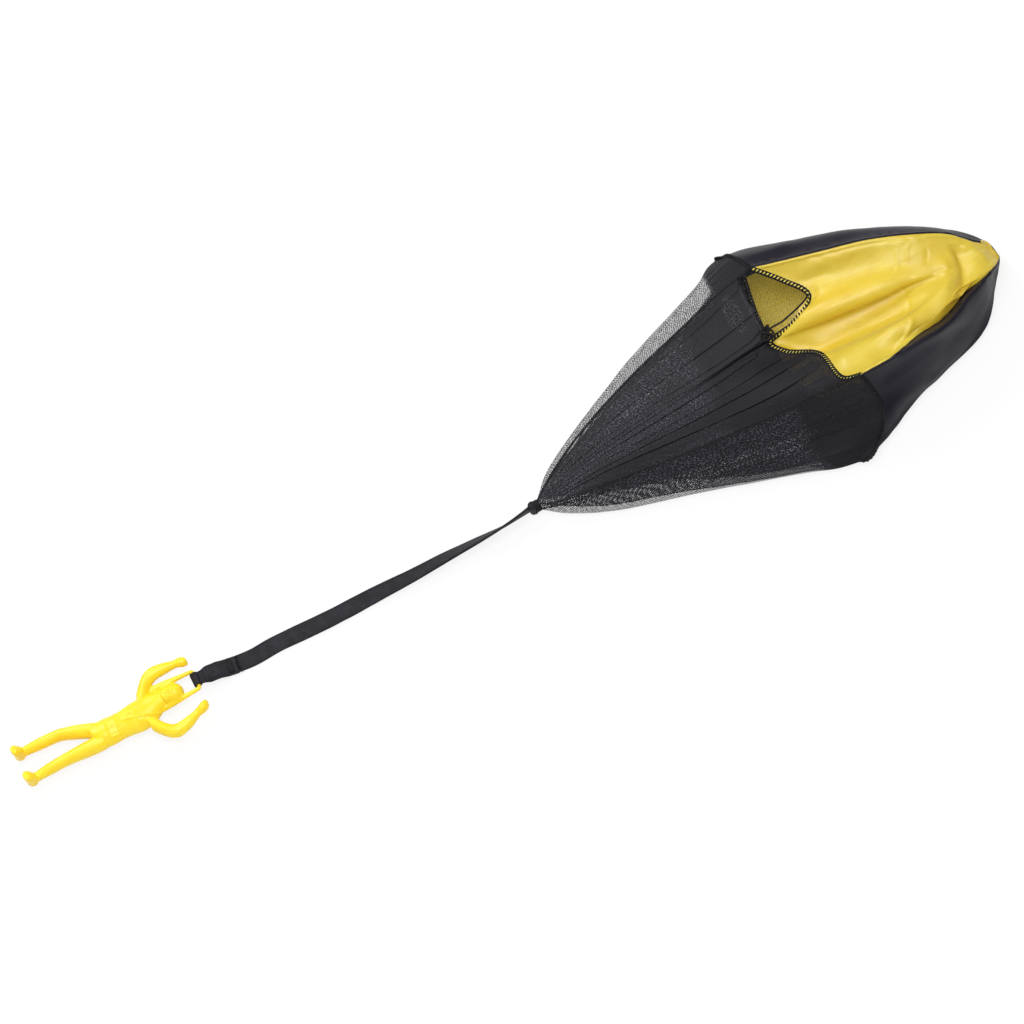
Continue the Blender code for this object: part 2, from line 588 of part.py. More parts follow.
def cloth_object(name, grid, thickness, material, frame, origin):
    """A sheet through the grid's points, with its thickness on both sides of them."""
    mesh = bpy.data.meshes.new(name)
    builder = bmesh.new()
    rows = [[builder.verts.new(point) for point in row] for row in grid]
    for low, high in zip(rows, rows[1:]):
        for i in range(len(low) - 1):
            builder.faces.new((low[i], low[i + 1], high[i + 1], high[i]))
    builder.to_mesh(mesh)
    builder.free()
    mesh.shade_smooth()
    obj = bpy.data.objects.new(name, mesh)
    solidify = obj.modifiers.new("thickness", "SOLIDIFY")
    solidify.thickness = thickness
    solidify.offset = 0.0
    return place(obj, frame, origin, material)


def tube_object(name, points, radius, material, frame, origin, resolution=0):
    """A thread or bar along the points, closed at its ends."""
    curve = bpy.data.curves.new(name, "CURVE")
    curve.dimensions = "3D"
    curve.bevel_depth = radius
    curve.bevel_resolution = resolution
    curve.use_fill_caps = True
    spline = curve.splines.new("POLY")
    spline.points.add(len(points) - 1)
    for target, point in zip(spline.points, points):
        target.co = (*point, 1.0)
    return place(bpy.data.objects.new(name, curve), frame, origin, material)


def build_canopy(materials, frame, origin):
    gores = {name: gore_rail(name) for name in GORE_RAIL_SHARES}
    nets = {name: net_rail(name) for name in NET_RAIL_SHARES}
    seams = {name: seam_points(gores[name], nets[name]) for name in SEAM_RAILS}
    for name, points in seams.items():
        tube_object(name, points, SEAM_RADIUS, materials["thread"], frame, origin)
    for side, (rail_names, gore_columns, net_columns) in SIDES.items():
        gore_rails = [gores[name] for name in rail_names]
        net_rails = [nets[name] for name in rail_names]
        sides = (seams[rail_names[0]], seams[rail_names[-1]])
        hem = hem_points(gore_rails, sides, gore_columns + 1)
        tube_object(f"{side}_hem", hem, SEAM_RADIUS, materials["thread"], frame, origin)
        gore = panel_grid(gore_rails, sides, hem, GORE_HEM_ROW_SHARES, GORE_ROWS, gore_columns)
        net = panel_grid(net_rails, sides, hem, NET_HEM_ROW_SHARES, NET_ROWS, net_columns)
        satin = materials[GORE_COLOURS[side]]
        cloth_object(f"{side}_gore", gore, CLOTH_THICKNESS, satin, frame, origin)
        cloth_object(f"{side}_net", net, NET_THICKNESS, materials["black_net"], frame, origin)


def loft(name, sections, axis="X"):
    """A closed mesh through ellipses: each section is its middle and its two half sizes."""
    mesh = bpy.data.meshes.new(name)
    builder = bmesh.new()
    rings = []
    for middle, half_width, half_depth in sections:
        ring = []
        for i in range(LIMB_SIDES):
            turn = 2 * math.pi * i / LIMB_SIDES
            across, up = half_width * math.cos(turn), half_depth * math.sin(turn)
            offset = Vector((0, across, up)) if axis == "X" else Vector((up, across, 0))
            ring.append(builder.verts.new(middle + offset))
        rings.append(ring)
    for low, high in zip(rings, rings[1:]):
        for i in range(LIMB_SIDES):
            j = (i + 1) % LIMB_SIDES
            builder.faces.new((low[i], low[j], high[j], high[i]))
    builder.faces.new(rings[0])
    builder.faces.new(rings[-1])
    bmesh.ops.recalc_face_normals(builder, faces=builder.faces)
    builder.to_mesh(mesh)
    builder.free()
    return bpy.data.objects.new(name, mesh)


def as_helper(obj):
    bpy.context.scene.collection.objects.link(obj)
    obj.hide_render = True
    obj.display_type = "WIRE"
    return obj


def add_boolean(obj, helper, operation):
    cut = obj.modifiers.new(operation.lower(), "BOOLEAN")
    cut.operation = operation
    cut.object = helper


def cylinder(name, middle, radius, height, axis="Z"):
    """A closed cylinder about a line through its middle along Z or Y."""
    mesh = bpy.data.meshes.new(name)
    builder = bmesh.new()
    bmesh.ops.create_cone(
        builder, cap_ends=True, segments=2 * LIMB_SIDES, radius1=radius, radius2=radius, depth=height,
    )
    if axis == "Y":
        bmesh.ops.rotate(builder, verts=builder.verts, matrix=Matrix.Rotation(math.pi / 2, 3, "X"))
    bmesh.ops.translate(builder, verts=builder.verts, vec=middle)
    builder.to_mesh(mesh)
    builder.free()
    return bpy.data.objects.new(name, mesh)


def build_gather(materials, frame, origin):
    """The nets' ends drawn together, with a round end that the strap can turn about."""
    middle = Vector((GATHER_X, GATHER_Y, GATHER_HEIGHT))
    mouth = middle + Vector((BUNCH_LENGTH, 0, 0))
    neck = middle + Vector((KNOT_RADIUS, 0, 0))
    bunch = loft("gathered_net_ends", [
        (mouth, BUNCH_RADIUS, BUNCH_RADIUS),
        (neck, BUNCH_NECK_RADIUS, BUNCH_NECK_RADIUS),
        (middle, KNOT_RADIUS / 2, BUNCH_NECK_RADIUS),
    ])
    place(bunch, frame, origin, materials["black_net"])
    knot = as_helper(cylinder("knot_shape", middle, KNOT_RADIUS, KNOT_HEIGHT))
    add_boolean(bunch, knot, "UNION")
    wrap = []
    wrap_radius = BUNCH_RADIUS + STITCH_RADIUS + CLEARANCE
    steps = STITCH_TURNS * LIMB_SIDES
    start = neck + Vector((KNOT_RADIUS / 2 - STITCH_BAND_LENGTH, 0, 0))
    for i in range(steps + 1):
        turn = 2 * math.pi * i / LIMB_SIDES
        wrap.append(start + Vector((
            STITCH_BAND_LENGTH * i / steps,
            wrap_radius * math.cos(turn),
            wrap_radius * math.sin(turn),
        )))
    tube_object("gather_stitches", wrap, STITCH_RADIUS, materials["thread"], frame, origin)


def strap_stations():
    """The strap's middle line and roll, from the gather to the ring."""
    stations = []
    for reach_share, drift, roll in STRAP_ROUTE_SHARES:
        turn = math.radians(roll)
        rise = STRAP_THICKNESS / 2 + CLEARANCE + STRAP_WIDTH / 2 * math.sin(turn)
        y = GATHER_Y + drift * STRAP_DRIFT
        x = GATHER_X - reach_share * RING_REACH
        stations.append((Vector((x, y, rise)), turn))
    for reach_share, drift, rise_share in STRAP_RISE_SHARES:
        low = STRAP_THICKNESS / 2 + CLEARANCE
        y = GATHER_Y + drift * STRAP_DRIFT
        x = GATHER_X - reach_share * RING_REACH
        stations.append((Vector((x, y, low + rise_share * (RING_HEIGHT - low))), 0.0))
    return stations


def build_strap(materials, frame, origin):
    mesh = bpy.data.meshes.new("strap")
    builder = bmesh.new()
    stations = strap_stations()
    line = smooth_curve([middle for middle, _ in stations])
    turns = []
    for (_, start), (_, end) in zip(stations, stations[1:]):
        turns += [start + (end - start) * i / CURVE_STEPS for i in range(CURVE_STEPS)]
    turns.append(stations[-1][1])
    rings = []
    for i in range(0, len(line), CURVE_STEPS // STRAP_STEPS):
        ahead = line[min(i + 1, len(line) - 1)] - line[max(i - 1, 0)]
        narrow = STRAP_LOOP_WIDTH if i >= len(line) - CURVE_STEPS // 2 else STRAP_WIDTH
        across = Vector((0, math.cos(turns[i]), -math.sin(turns[i]))) * narrow / 2
        thick = across.cross(ahead).normalized() * STRAP_THICKNESS / 2
        corners = ((1, 1), (-1, 1), (-1, -1), (1, -1))
        rings.append([builder.verts.new(line[i] + across * a + thick * b) for a, b in corners])
    for low, high in zip(rings, rings[1:]):
        for i in range(4):
            j = (i + 1) % 4
            builder.faces.new((low[i], low[j], high[j], high[i]))
    builder.faces.new(rings[0])
    builder.faces.new(rings[-1])
    bmesh.ops.recalc_face_normals(builder, faces=builder.faces)
    builder.to_mesh(mesh)
    builder.free()
    strap = place(bpy.data.objects.new("strap", mesh), frame, origin, materials["strap_ribbon"])

    bore_radius = RING_BAR_RADIUS + LOOP_CLEARANCE
    bar = ring_middle()
    sleeve = as_helper(cylinder("loop_shape", bar, bore_radius + STRAP_LOOP_WALL, STRAP_LOOP_WIDTH, "Y"))
    bore = as_helper(cylinder("loop_bore", bar, bore_radius, 2 * STRAP_LOOP_WIDTH, "Y"))
    knot_place = Vector((GATHER_X, GATHER_Y, GATHER_HEIGHT))
    hollow = as_helper(cylinder("knot_room", knot_place, KNOT_RADIUS + CLEARANCE, 2 * STRAP_WIDTH))
    add_boolean(strap, sleeve, "UNION")
    add_boolean(strap, bore, "DIFFERENCE")
    add_boolean(strap, hollow, "DIFFERENCE")

    start = min(line, key=lambda point: abs(point.x - bar.x - TACK_REACH))
    half_reach = STRAP_WIDTH / 2 - 2 * STITCH_RADIUS
    height = start.z + STRAP_THICKNESS / 2 + CLEARANCE + STITCH_RADIUS
    zigzag = []
    for i in range(TACK_LEGS + 1):
        side = 1 if i % 2 else -1
        x = bar.x + TACK_REACH + TACK_LENGTH * i / TACK_LEGS
        zigzag.append(Vector((x, start.y + side * half_reach, height)))
    tube_object("strap_bar_tack", zigzag, STITCH_RADIUS, materials["thread"], frame, origin)


def ring_middle():
    return Vector((GATHER_X - RING_REACH, RING_Y, RING_HEIGHT))


def figure_place(along, across, up):
    crown_x = GATHER_X - RING_REACH - RING_TO_CROWN
    return Vector((
        crown_x - FIGURE_HEIGHT + along * FIGURE_HEIGHT,
        FIGURE_Y + across * FIGURE_DEPTH,
        up * FIGURE_DEPTH,
    ))


def figure_sections(shares):
    return [
        (figure_place(along, across, up), half_width * FIGURE_DEPTH, half_depth * FIGURE_DEPTH)
        for along, across, up, half_width, half_depth in shares
    ]


def pouch(name, shares):
    along, across, up, half_length, half_width, half_depth = shares
    mesh = bpy.data.meshes.new(name)
    builder = bmesh.new()
    bmesh.ops.create_cube(builder, size=2.0)
    size = (half_length * FIGURE_HEIGHT, half_width * FIGURE_DEPTH, half_depth * FIGURE_DEPTH)
    bmesh.ops.scale(builder, verts=builder.verts, vec=size)
    bmesh.ops.translate(builder, verts=builder.verts, vec=figure_place(along, across, up))
    builder.to_mesh(mesh)
    builder.free()
    return bpy.data.objects.new(name, mesh)


def shoe(name, across_share):
    sections = []
    for along, across, up, half_width, half_length in SHOE_SHARES:
        middle = figure_place(along, across + across_share, up)
        sections.append((middle, half_width * FIGURE_DEPTH, half_length * FIGURE_HEIGHT))
    return loft(name, sections, "Z")


def ring_line():
    """The ring's bar: up one side, round two corners and down the other."""
    bar = ring_middle()
    corner = RING_CORNER_RADIUS
    points = [bar + Vector((-RING_SIDE_LENGTH, -RING_HALF_WIDTH, 0))]
    for side, start in ((-1, math.pi), (1, math.pi / 2)):
        middle = bar + Vector((-corner, side * (RING_HALF_WIDTH - corner), 0))
        for i in range(CORNER_STEPS + 1):
            turn = start - math.pi / 2 * i / CORNER_STEPS
            points.append(middle + corner * Vector((math.sin(turn), math.cos(turn), 0)))
    points.append(bar + Vector((-RING_SIDE_LENGTH, RING_HALF_WIDTH, 0)))
    return points


def build_figure(materials, frame, origin):
    """One moulding: the body's lofts are joined by a voxel remesh, which rounds the joins."""
    shapes = [
        loft("torso", figure_sections(TORSO_SHARES)),
        loft("head", figure_sections(HEAD_SHARES)),
        loft("helmet", figure_sections(HELMET_SHARES)),
        *(loft(name, figure_sections(shares)) for name, shares in LIMB_SHARES.items()),
        *(shoe(name, across) for name, across in SHOE_ACROSS_SHARES.items()),
        *(pouch(f"pouch_{i}", shares) for i, shares in enumerate(POUCH_SHARES)),
    ]
    builder = bmesh.new()
    for shape in shapes:
        builder.from_mesh(shape.data)
        bpy.data.objects.remove(shape)
    mesh = bpy.data.meshes.new("figure")
    builder.to_mesh(mesh)
    builder.free()
    figure = place(bpy.data.objects.new("figure", mesh), frame, origin, materials["yellow_plastic"])
    remesh = figure.modifiers.new("mould", "REMESH")
    remesh.mode = "VOXEL"
    remesh.voxel_size = MOULD_VOXEL
    thin = figure.modifiers.new("faces", "DECIMATE")
    thin.ratio = MOULD_FACES_SHARE
    thin.use_collapse_triangulate = True
    add_boolean(figure, ring_helper(), "UNION")


def ring_helper():
    """The ring as a mesh tube swept along its line."""
    mesh = bpy.data.meshes.new("ring_shape")
    builder = bmesh.new()
    line = ring_line()
    rings = []
    for i, point in enumerate(line):
        ahead = (line[min(i + 1, len(line) - 1)] - line[max(i - 1, 0)]).normalized()
        side = ahead.cross(Vector((0, 0, 1)))
        ring = []
        for k in range(LIMB_SIDES):
            turn = 2 * math.pi * (k + 0.5) / LIMB_SIDES
            offset = side * math.cos(turn) + Vector((0, 0, 1)) * math.sin(turn)
            ring.append(builder.verts.new(point + offset * RING_BAR_RADIUS))
        rings.append(ring)
    for low, high in zip(rings, rings[1:]):
        for i in range(LIMB_SIDES):
            j = (i + 1) % LIMB_SIDES
            builder.faces.new((low[i], low[j], high[j], high[i]))
    builder.faces.new(rings[0])
    builder.faces.new(rings[-1])
    bmesh.ops.recalc_face_normals(builder, faces=builder.faces)
    builder.to_mesh(mesh)
    builder.free()
    return as_helper(bpy.data.objects.new("ring_shape", mesh))


def main():
    clear_scene()
    materials = make_materials()
    canopy_origin = Vector((0, 0, 0))
    strap_origin = Vector((GATHER_X, GATHER_Y, 0))
    canopy = make_frame("canopy_frame", canopy_origin)
    strap = make_frame("strap_pivot", strap_origin, canopy)
    figure = make_frame("figure_pivot", ring_middle(), strap)
    build_canopy(materials, canopy, canopy_origin)
    build_gather(materials, canopy, canopy_origin)
    build_strap(materials, strap, strap_origin)
    build_figure(materials, figure, ring_middle())


main()
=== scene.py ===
"""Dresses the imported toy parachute: satin, net, overlock stitching, ribbon and moulded figure.

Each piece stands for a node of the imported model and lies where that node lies. Metres, +X from
the figure's soles to the canopy's crown, +Y to the far side, +Z up from the table.
"""

from __future__ import annotations

import logging
import math
from collections.abc import Sequence
from dataclasses import dataclass, field
from enum import Enum

import bmesh
import bpy
import numpy as np
from mathutils import Matrix, Vector, noise


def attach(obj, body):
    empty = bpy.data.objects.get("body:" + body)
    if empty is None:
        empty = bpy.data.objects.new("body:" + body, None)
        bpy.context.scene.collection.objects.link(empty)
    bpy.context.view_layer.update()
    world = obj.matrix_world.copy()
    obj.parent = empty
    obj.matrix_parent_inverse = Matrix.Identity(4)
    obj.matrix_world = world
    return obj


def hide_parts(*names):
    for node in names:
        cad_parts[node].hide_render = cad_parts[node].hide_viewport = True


LOG = logging.getLogger("toy_parachute")
MM = 0.001

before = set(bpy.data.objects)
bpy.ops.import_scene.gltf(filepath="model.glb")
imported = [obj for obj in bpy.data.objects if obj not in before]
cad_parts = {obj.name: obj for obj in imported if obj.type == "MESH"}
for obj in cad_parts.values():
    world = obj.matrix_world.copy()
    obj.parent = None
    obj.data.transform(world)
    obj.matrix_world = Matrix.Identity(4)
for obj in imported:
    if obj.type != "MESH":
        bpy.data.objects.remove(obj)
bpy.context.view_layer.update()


class Side(Enum):
    """The canopy's four sides as they lie on the table."""

    TOP = "top"
    FAR = "far"
    BOTTOM = "bottom"
    NEAR = "near"

    @property
    def yellow(self) -> bool:
        """Whether this side's gore is of the yellow satin."""
        return self in (Side.TOP, Side.BOTTOM)


class Body(Enum):
    """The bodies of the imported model."""

    CANOPY = "canopy"
    STRAP = "strap"
    FIGURE = "figure"


class Slot(Enum):
    """The record's material slots."""

    YELLOW_SATIN = "yellow_satin"
    BLACK_SATIN = "black_satin"
    BLACK_NET = "black_net"
    THREAD = "thread"
    RIBBON = "strap_ribbon"
    PLASTIC = "yellow_plastic"


@dataclass(frozen=True)
class Berth:
    """Where a piece belongs: its body, its material slot and the nodes that it stands for."""

    body: Body
    slot: Slot
    nodes: tuple[str, ...] = ()


@dataclass(frozen=True)
class Fold:
    """A crease in the cloth, placed as it is seen from the near side, in millimetres.

    A place is (along from the gather, across the line of sight). The height is negative in a
    valley, and the lean from -1 to 1 makes one bank steeper than the other.
    """

    start: tuple[float, float]
    end: tuple[float, float]
    height: float
    width: float
    bow: float = 0.0
    lean: float = 0.0


# Canopy layout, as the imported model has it. A place is (along, across, up), in shares of these three
GATHER_X = 0.0102
GATHER_Y = -0.0025
GATHER_HEIGHT = 0.0046
SHOULDER_LENGTH = 0.200
MOUTH_HALF_WIDTH = 0.050
SAG_HEIGHT = 0.020
CROWN_SHARES = (1.136, 0.0, 0.455)
# The figure's ring, where the strap's loop holds it
RING_REACH = 162.6 * MM
RING_HEIGHT = 5.2 * MM
RING_Y = -1.8 * MM
RING_BAR_RADIUS = 0.9 * MM

# The camera looks down at this angle, and is rolled by this one
SIGHT_ANGLE = math.radians(65.0)
SIGHT_ROLL = math.radians(27.3)

# Rails of the gores. Each runs from the hem to the crown.
GORE_RAIL_SHARES = {
    "near_top_seam": (
        (0.748, -0.63, 1.75), (0.81, -0.62, 1.73), (0.89, -0.595, 1.665), (0.95, -0.56, 1.55),
        (1.0, -0.46, 1.39), (1.03, -0.37, 1.28), (1.075, -0.26, 1.065), (1.112, -0.124, 0.75),
        (1.127, -0.052, 0.55),
    ),
    "top_near_slope": (
        (0.712, -0.55, 1.58), (0.775, -0.46, 1.46), (0.835, -0.43, 1.425), (0.93, -0.41, 1.40),
        (1.01, -0.31, 1.29), (1.07, -0.198, 1.07), (1.11, -0.092, 0.775), (1.13, -0.028, 0.51),
    ),
    "top_highlight": (
        (0.694, -0.15, 1.10), (0.755, -0.196, 1.21), (0.825, -0.24, 1.25), (0.92, -0.25, 1.265),
        (1.005, -0.21, 1.215), (1.065, -0.136, 1.05), (1.108, -0.064, 0.79), (1.133, -0.016, 0.46),
    ),
    "top_valley_bank": (
        (0.634, 0.064, 0.80), (0.68, 0.02, 0.84), (0.715, -0.01, 0.93), (0.795, -0.064, 1.06),
        (0.903, -0.09, 1.165), (1.0, -0.11, 1.14), (1.063, -0.076, 1.025), (1.106, -0.036, 0.80),
        (1.134, -0.006, 0.44),
    ),
    "top_valley": (
        (0.614, 0.224, 0.70), (0.64, 0.192, 0.73), (0.71, 0.152, 0.81), (0.79, 0.092, 0.88),
        (0.90, 0.04, 0.975), (1.0, -0.02, 1.075), (1.062, -0.02, 1.02), (1.105, -0.005, 0.80),
        (1.135, 0.012, 0.43),
    ),
    "top_crease": (
        (0.672, 0.252, 0.875), (0.715, 0.224, 1.025), (0.745, 0.196, 1.09), (0.815, 0.136, 1.14),
        (0.905, 0.072, 1.15), (1.0, 0.044, 1.125), (1.06, 0.036, 1.035), (1.104, 0.03, 0.815),
        (1.134, 0.03, 0.43),
    ),
    "top_far_valley": (
        (0.734, 0.392, 1.025), (0.785, 0.368, 1.025), (0.835, 0.332, 1.05), (0.912, 0.266, 1.10),
        (1.002, 0.172, 1.125), (1.06, 0.112, 1.04), (1.102, 0.07, 0.82), (1.133, 0.052, 0.45),
    ),
    "top_far_slope": (
        (0.698, 0.608, 1.20), (0.755, 0.56, 1.25), (0.815, 0.50, 1.275), (0.905, 0.41, 1.275),
        (1.0, 0.28, 1.225), (1.058, 0.196, 1.10), (1.10, 0.115, 0.85), (1.131, 0.08, 0.48),
    ),
    "far_top_seam": (
        (0.65, 0.81, 1.375), (0.695, 0.748, 1.425), (0.80, 0.626, 1.475), (0.90, 0.52, 1.465),
        (1.0, 0.372, 1.35), (1.055, 0.28, 1.175), (1.098, 0.165, 0.84), (1.127, 0.115, 0.52),
    ),
    "far_wall": (
        (0.63, 1.055, 0.98), (0.68, 1.0, 1.04), (0.77, 0.88, 1.10), (0.88, 0.744, 1.10),
        (0.995, 0.52, 1.05), (1.055, 0.37, 0.95), (1.10, 0.235, 0.74), (1.128, 0.145, 0.47),
    ),
    "far_bulge": (
        (0.595, 1.20, 0.44), (0.645, 1.165, 0.50), (0.735, 1.03, 0.60), (0.86, 0.86, 0.64),
        (0.985, 0.62, 0.66), (1.05, 0.445, 0.66), (1.10, 0.29, 0.62), (1.128, 0.155, 0.42),
    ),
    "far_floor": (
        (0.602, 1.09, 0.36), (0.580, 1.095, 0.20), (0.585, 1.09, 0.09), (0.605, 1.085, 0.06),
        (0.70, 1.045, 0.08), (0.84, 0.875, 0.08), (0.97, 0.62, 0.09), (1.04, 0.42, 0.14),
        (1.092, 0.255, 0.27), (1.127, 0.14, 0.37),
    ),
    "far_bottom_seam": (
        (0.634, 1.02, 0.30), (0.625, 1.015, 0.20), (0.60, 1.01, 0.15), (0.572, 1.0, 0.11),
        (0.5655, 0.995, 0.065), (0.573, 1.0, 0.03), (0.60, 1.01, 0.03), (0.70, 0.985, 0.03),
        (0.84, 0.82, 0.03), (0.97, 0.57, 0.035), (1.04, 0.38, 0.08), (1.09, 0.215, 0.18),
        (1.126, 0.10, 0.32),
    ),
    "bottom_far": (
        (0.6185, 0.62, 0.20), (0.615, 0.62, 0.15), (0.59, 0.62, 0.125), (0.565, 0.62, 0.10),
        (0.558, 0.62, 0.06), (0.565, 0.62, 0.0), (0.587, 0.62, 0.0), (0.69, 0.58, 0.0),
        (0.835, 0.49, 0.0), (0.962, 0.35, 0.0), (1.036, 0.22, 0.035), (1.088, 0.12, 0.14),
        (1.126, 0.06, 0.31),
    ),
    "bottom_middle": (
        (0.616, 0.18, 0.195), (0.6125, 0.18, 0.145), (0.5875, 0.18, 0.12), (0.563, 0.18, 0.10),
        (0.556, 0.18, 0.06), (0.563, 0.18, 0.0), (0.585, 0.18, 0.0), (0.685, 0.17, 0.0),
        (0.83, 0.15, 0.0), (0.957, 0.10, 0.0), (1.034, 0.065, 0.03), (1.086, 0.035, 0.13),
        (1.125, 0.012, 0.33),
    ),
    "bottom_near": (
        (0.6275, -0.16, 0.195), (0.624, -0.16, 0.145), (0.60, -0.16, 0.12), (0.575, -0.16, 0.10),
        (0.568, -0.16, 0.06), (0.575, -0.16, 0.0), (0.5975, -0.16, 0.0), (0.69, -0.16, 0.0),
        (0.83, -0.16, 0.0), (0.955, -0.12, 0.0), (1.033, -0.07, 0.03), (1.085, -0.036, 0.13),
        (1.125, -0.02, 0.33),
    ),
    "near_bottom_seam": (
        (0.6525, -0.44, 0.195), (0.649, -0.44, 0.145), (0.625, -0.45, 0.125), (0.601, -0.46, 0.105),
        (0.5945, -0.46, 0.065), (0.602, -0.46, 0.03), (0.625, -0.46, 0.03), (0.71, -0.43, 0.03),
        (0.835, -0.38, 0.03), (0.96, -0.28, 0.03), (1.035, -0.17, 0.05), (1.088, -0.088, 0.15),
        (1.125, -0.044, 0.35),
    ),
    "near_floor": (
        (0.635, -0.82, 0.21), (0.628, -0.824, 0.14), (0.630, -0.826, 0.065), (0.645, -0.82, 0.035),
        (0.73, -0.72, 0.035), (0.84, -0.59, 0.035), (0.965, -0.41, 0.04), (1.038, -0.27, 0.09),
        (1.09, -0.136, 0.20), (1.125, -0.056, 0.38),
    ),
    "near_bulge": (
        (0.6775, -1.076, 0.175), (0.76, -0.934, 0.15), (0.825, -0.80, 0.15), (0.91, -0.68, 0.15),
        (1.015, -0.54, 0.16), (1.06, -0.41, 0.21), (1.095, -0.22, 0.30), (1.126, -0.068, 0.42),
    ),
    "near_lobe": (
        (0.725, -0.99, 0.34), (0.815, -0.835, 0.32), (0.90, -0.70, 0.30), (0.995, -0.56, 0.29),
        (1.055, -0.42, 0.30), (1.097, -0.21, 0.37), (1.126, -0.07, 0.44),
    ),
    "near_low_wall": (
        (0.7525, -0.896, 0.60), (0.815, -0.80, 0.57), (0.90, -0.68, 0.52), (0.995, -0.55, 0.425),
        (1.055, -0.40, 0.425), (1.10, -0.19, 0.45), (1.1265, -0.068, 0.46),
    ),
    "near_wall": (
        (0.762, -0.772, 0.90), (0.855, -0.706, 0.925), (0.935, -0.62, 0.875), (1.012, -0.49, 0.775),
        (1.068, -0.33, 0.675), (1.105, -0.16, 0.575), (1.127, -0.062, 0.50),
    ),
}

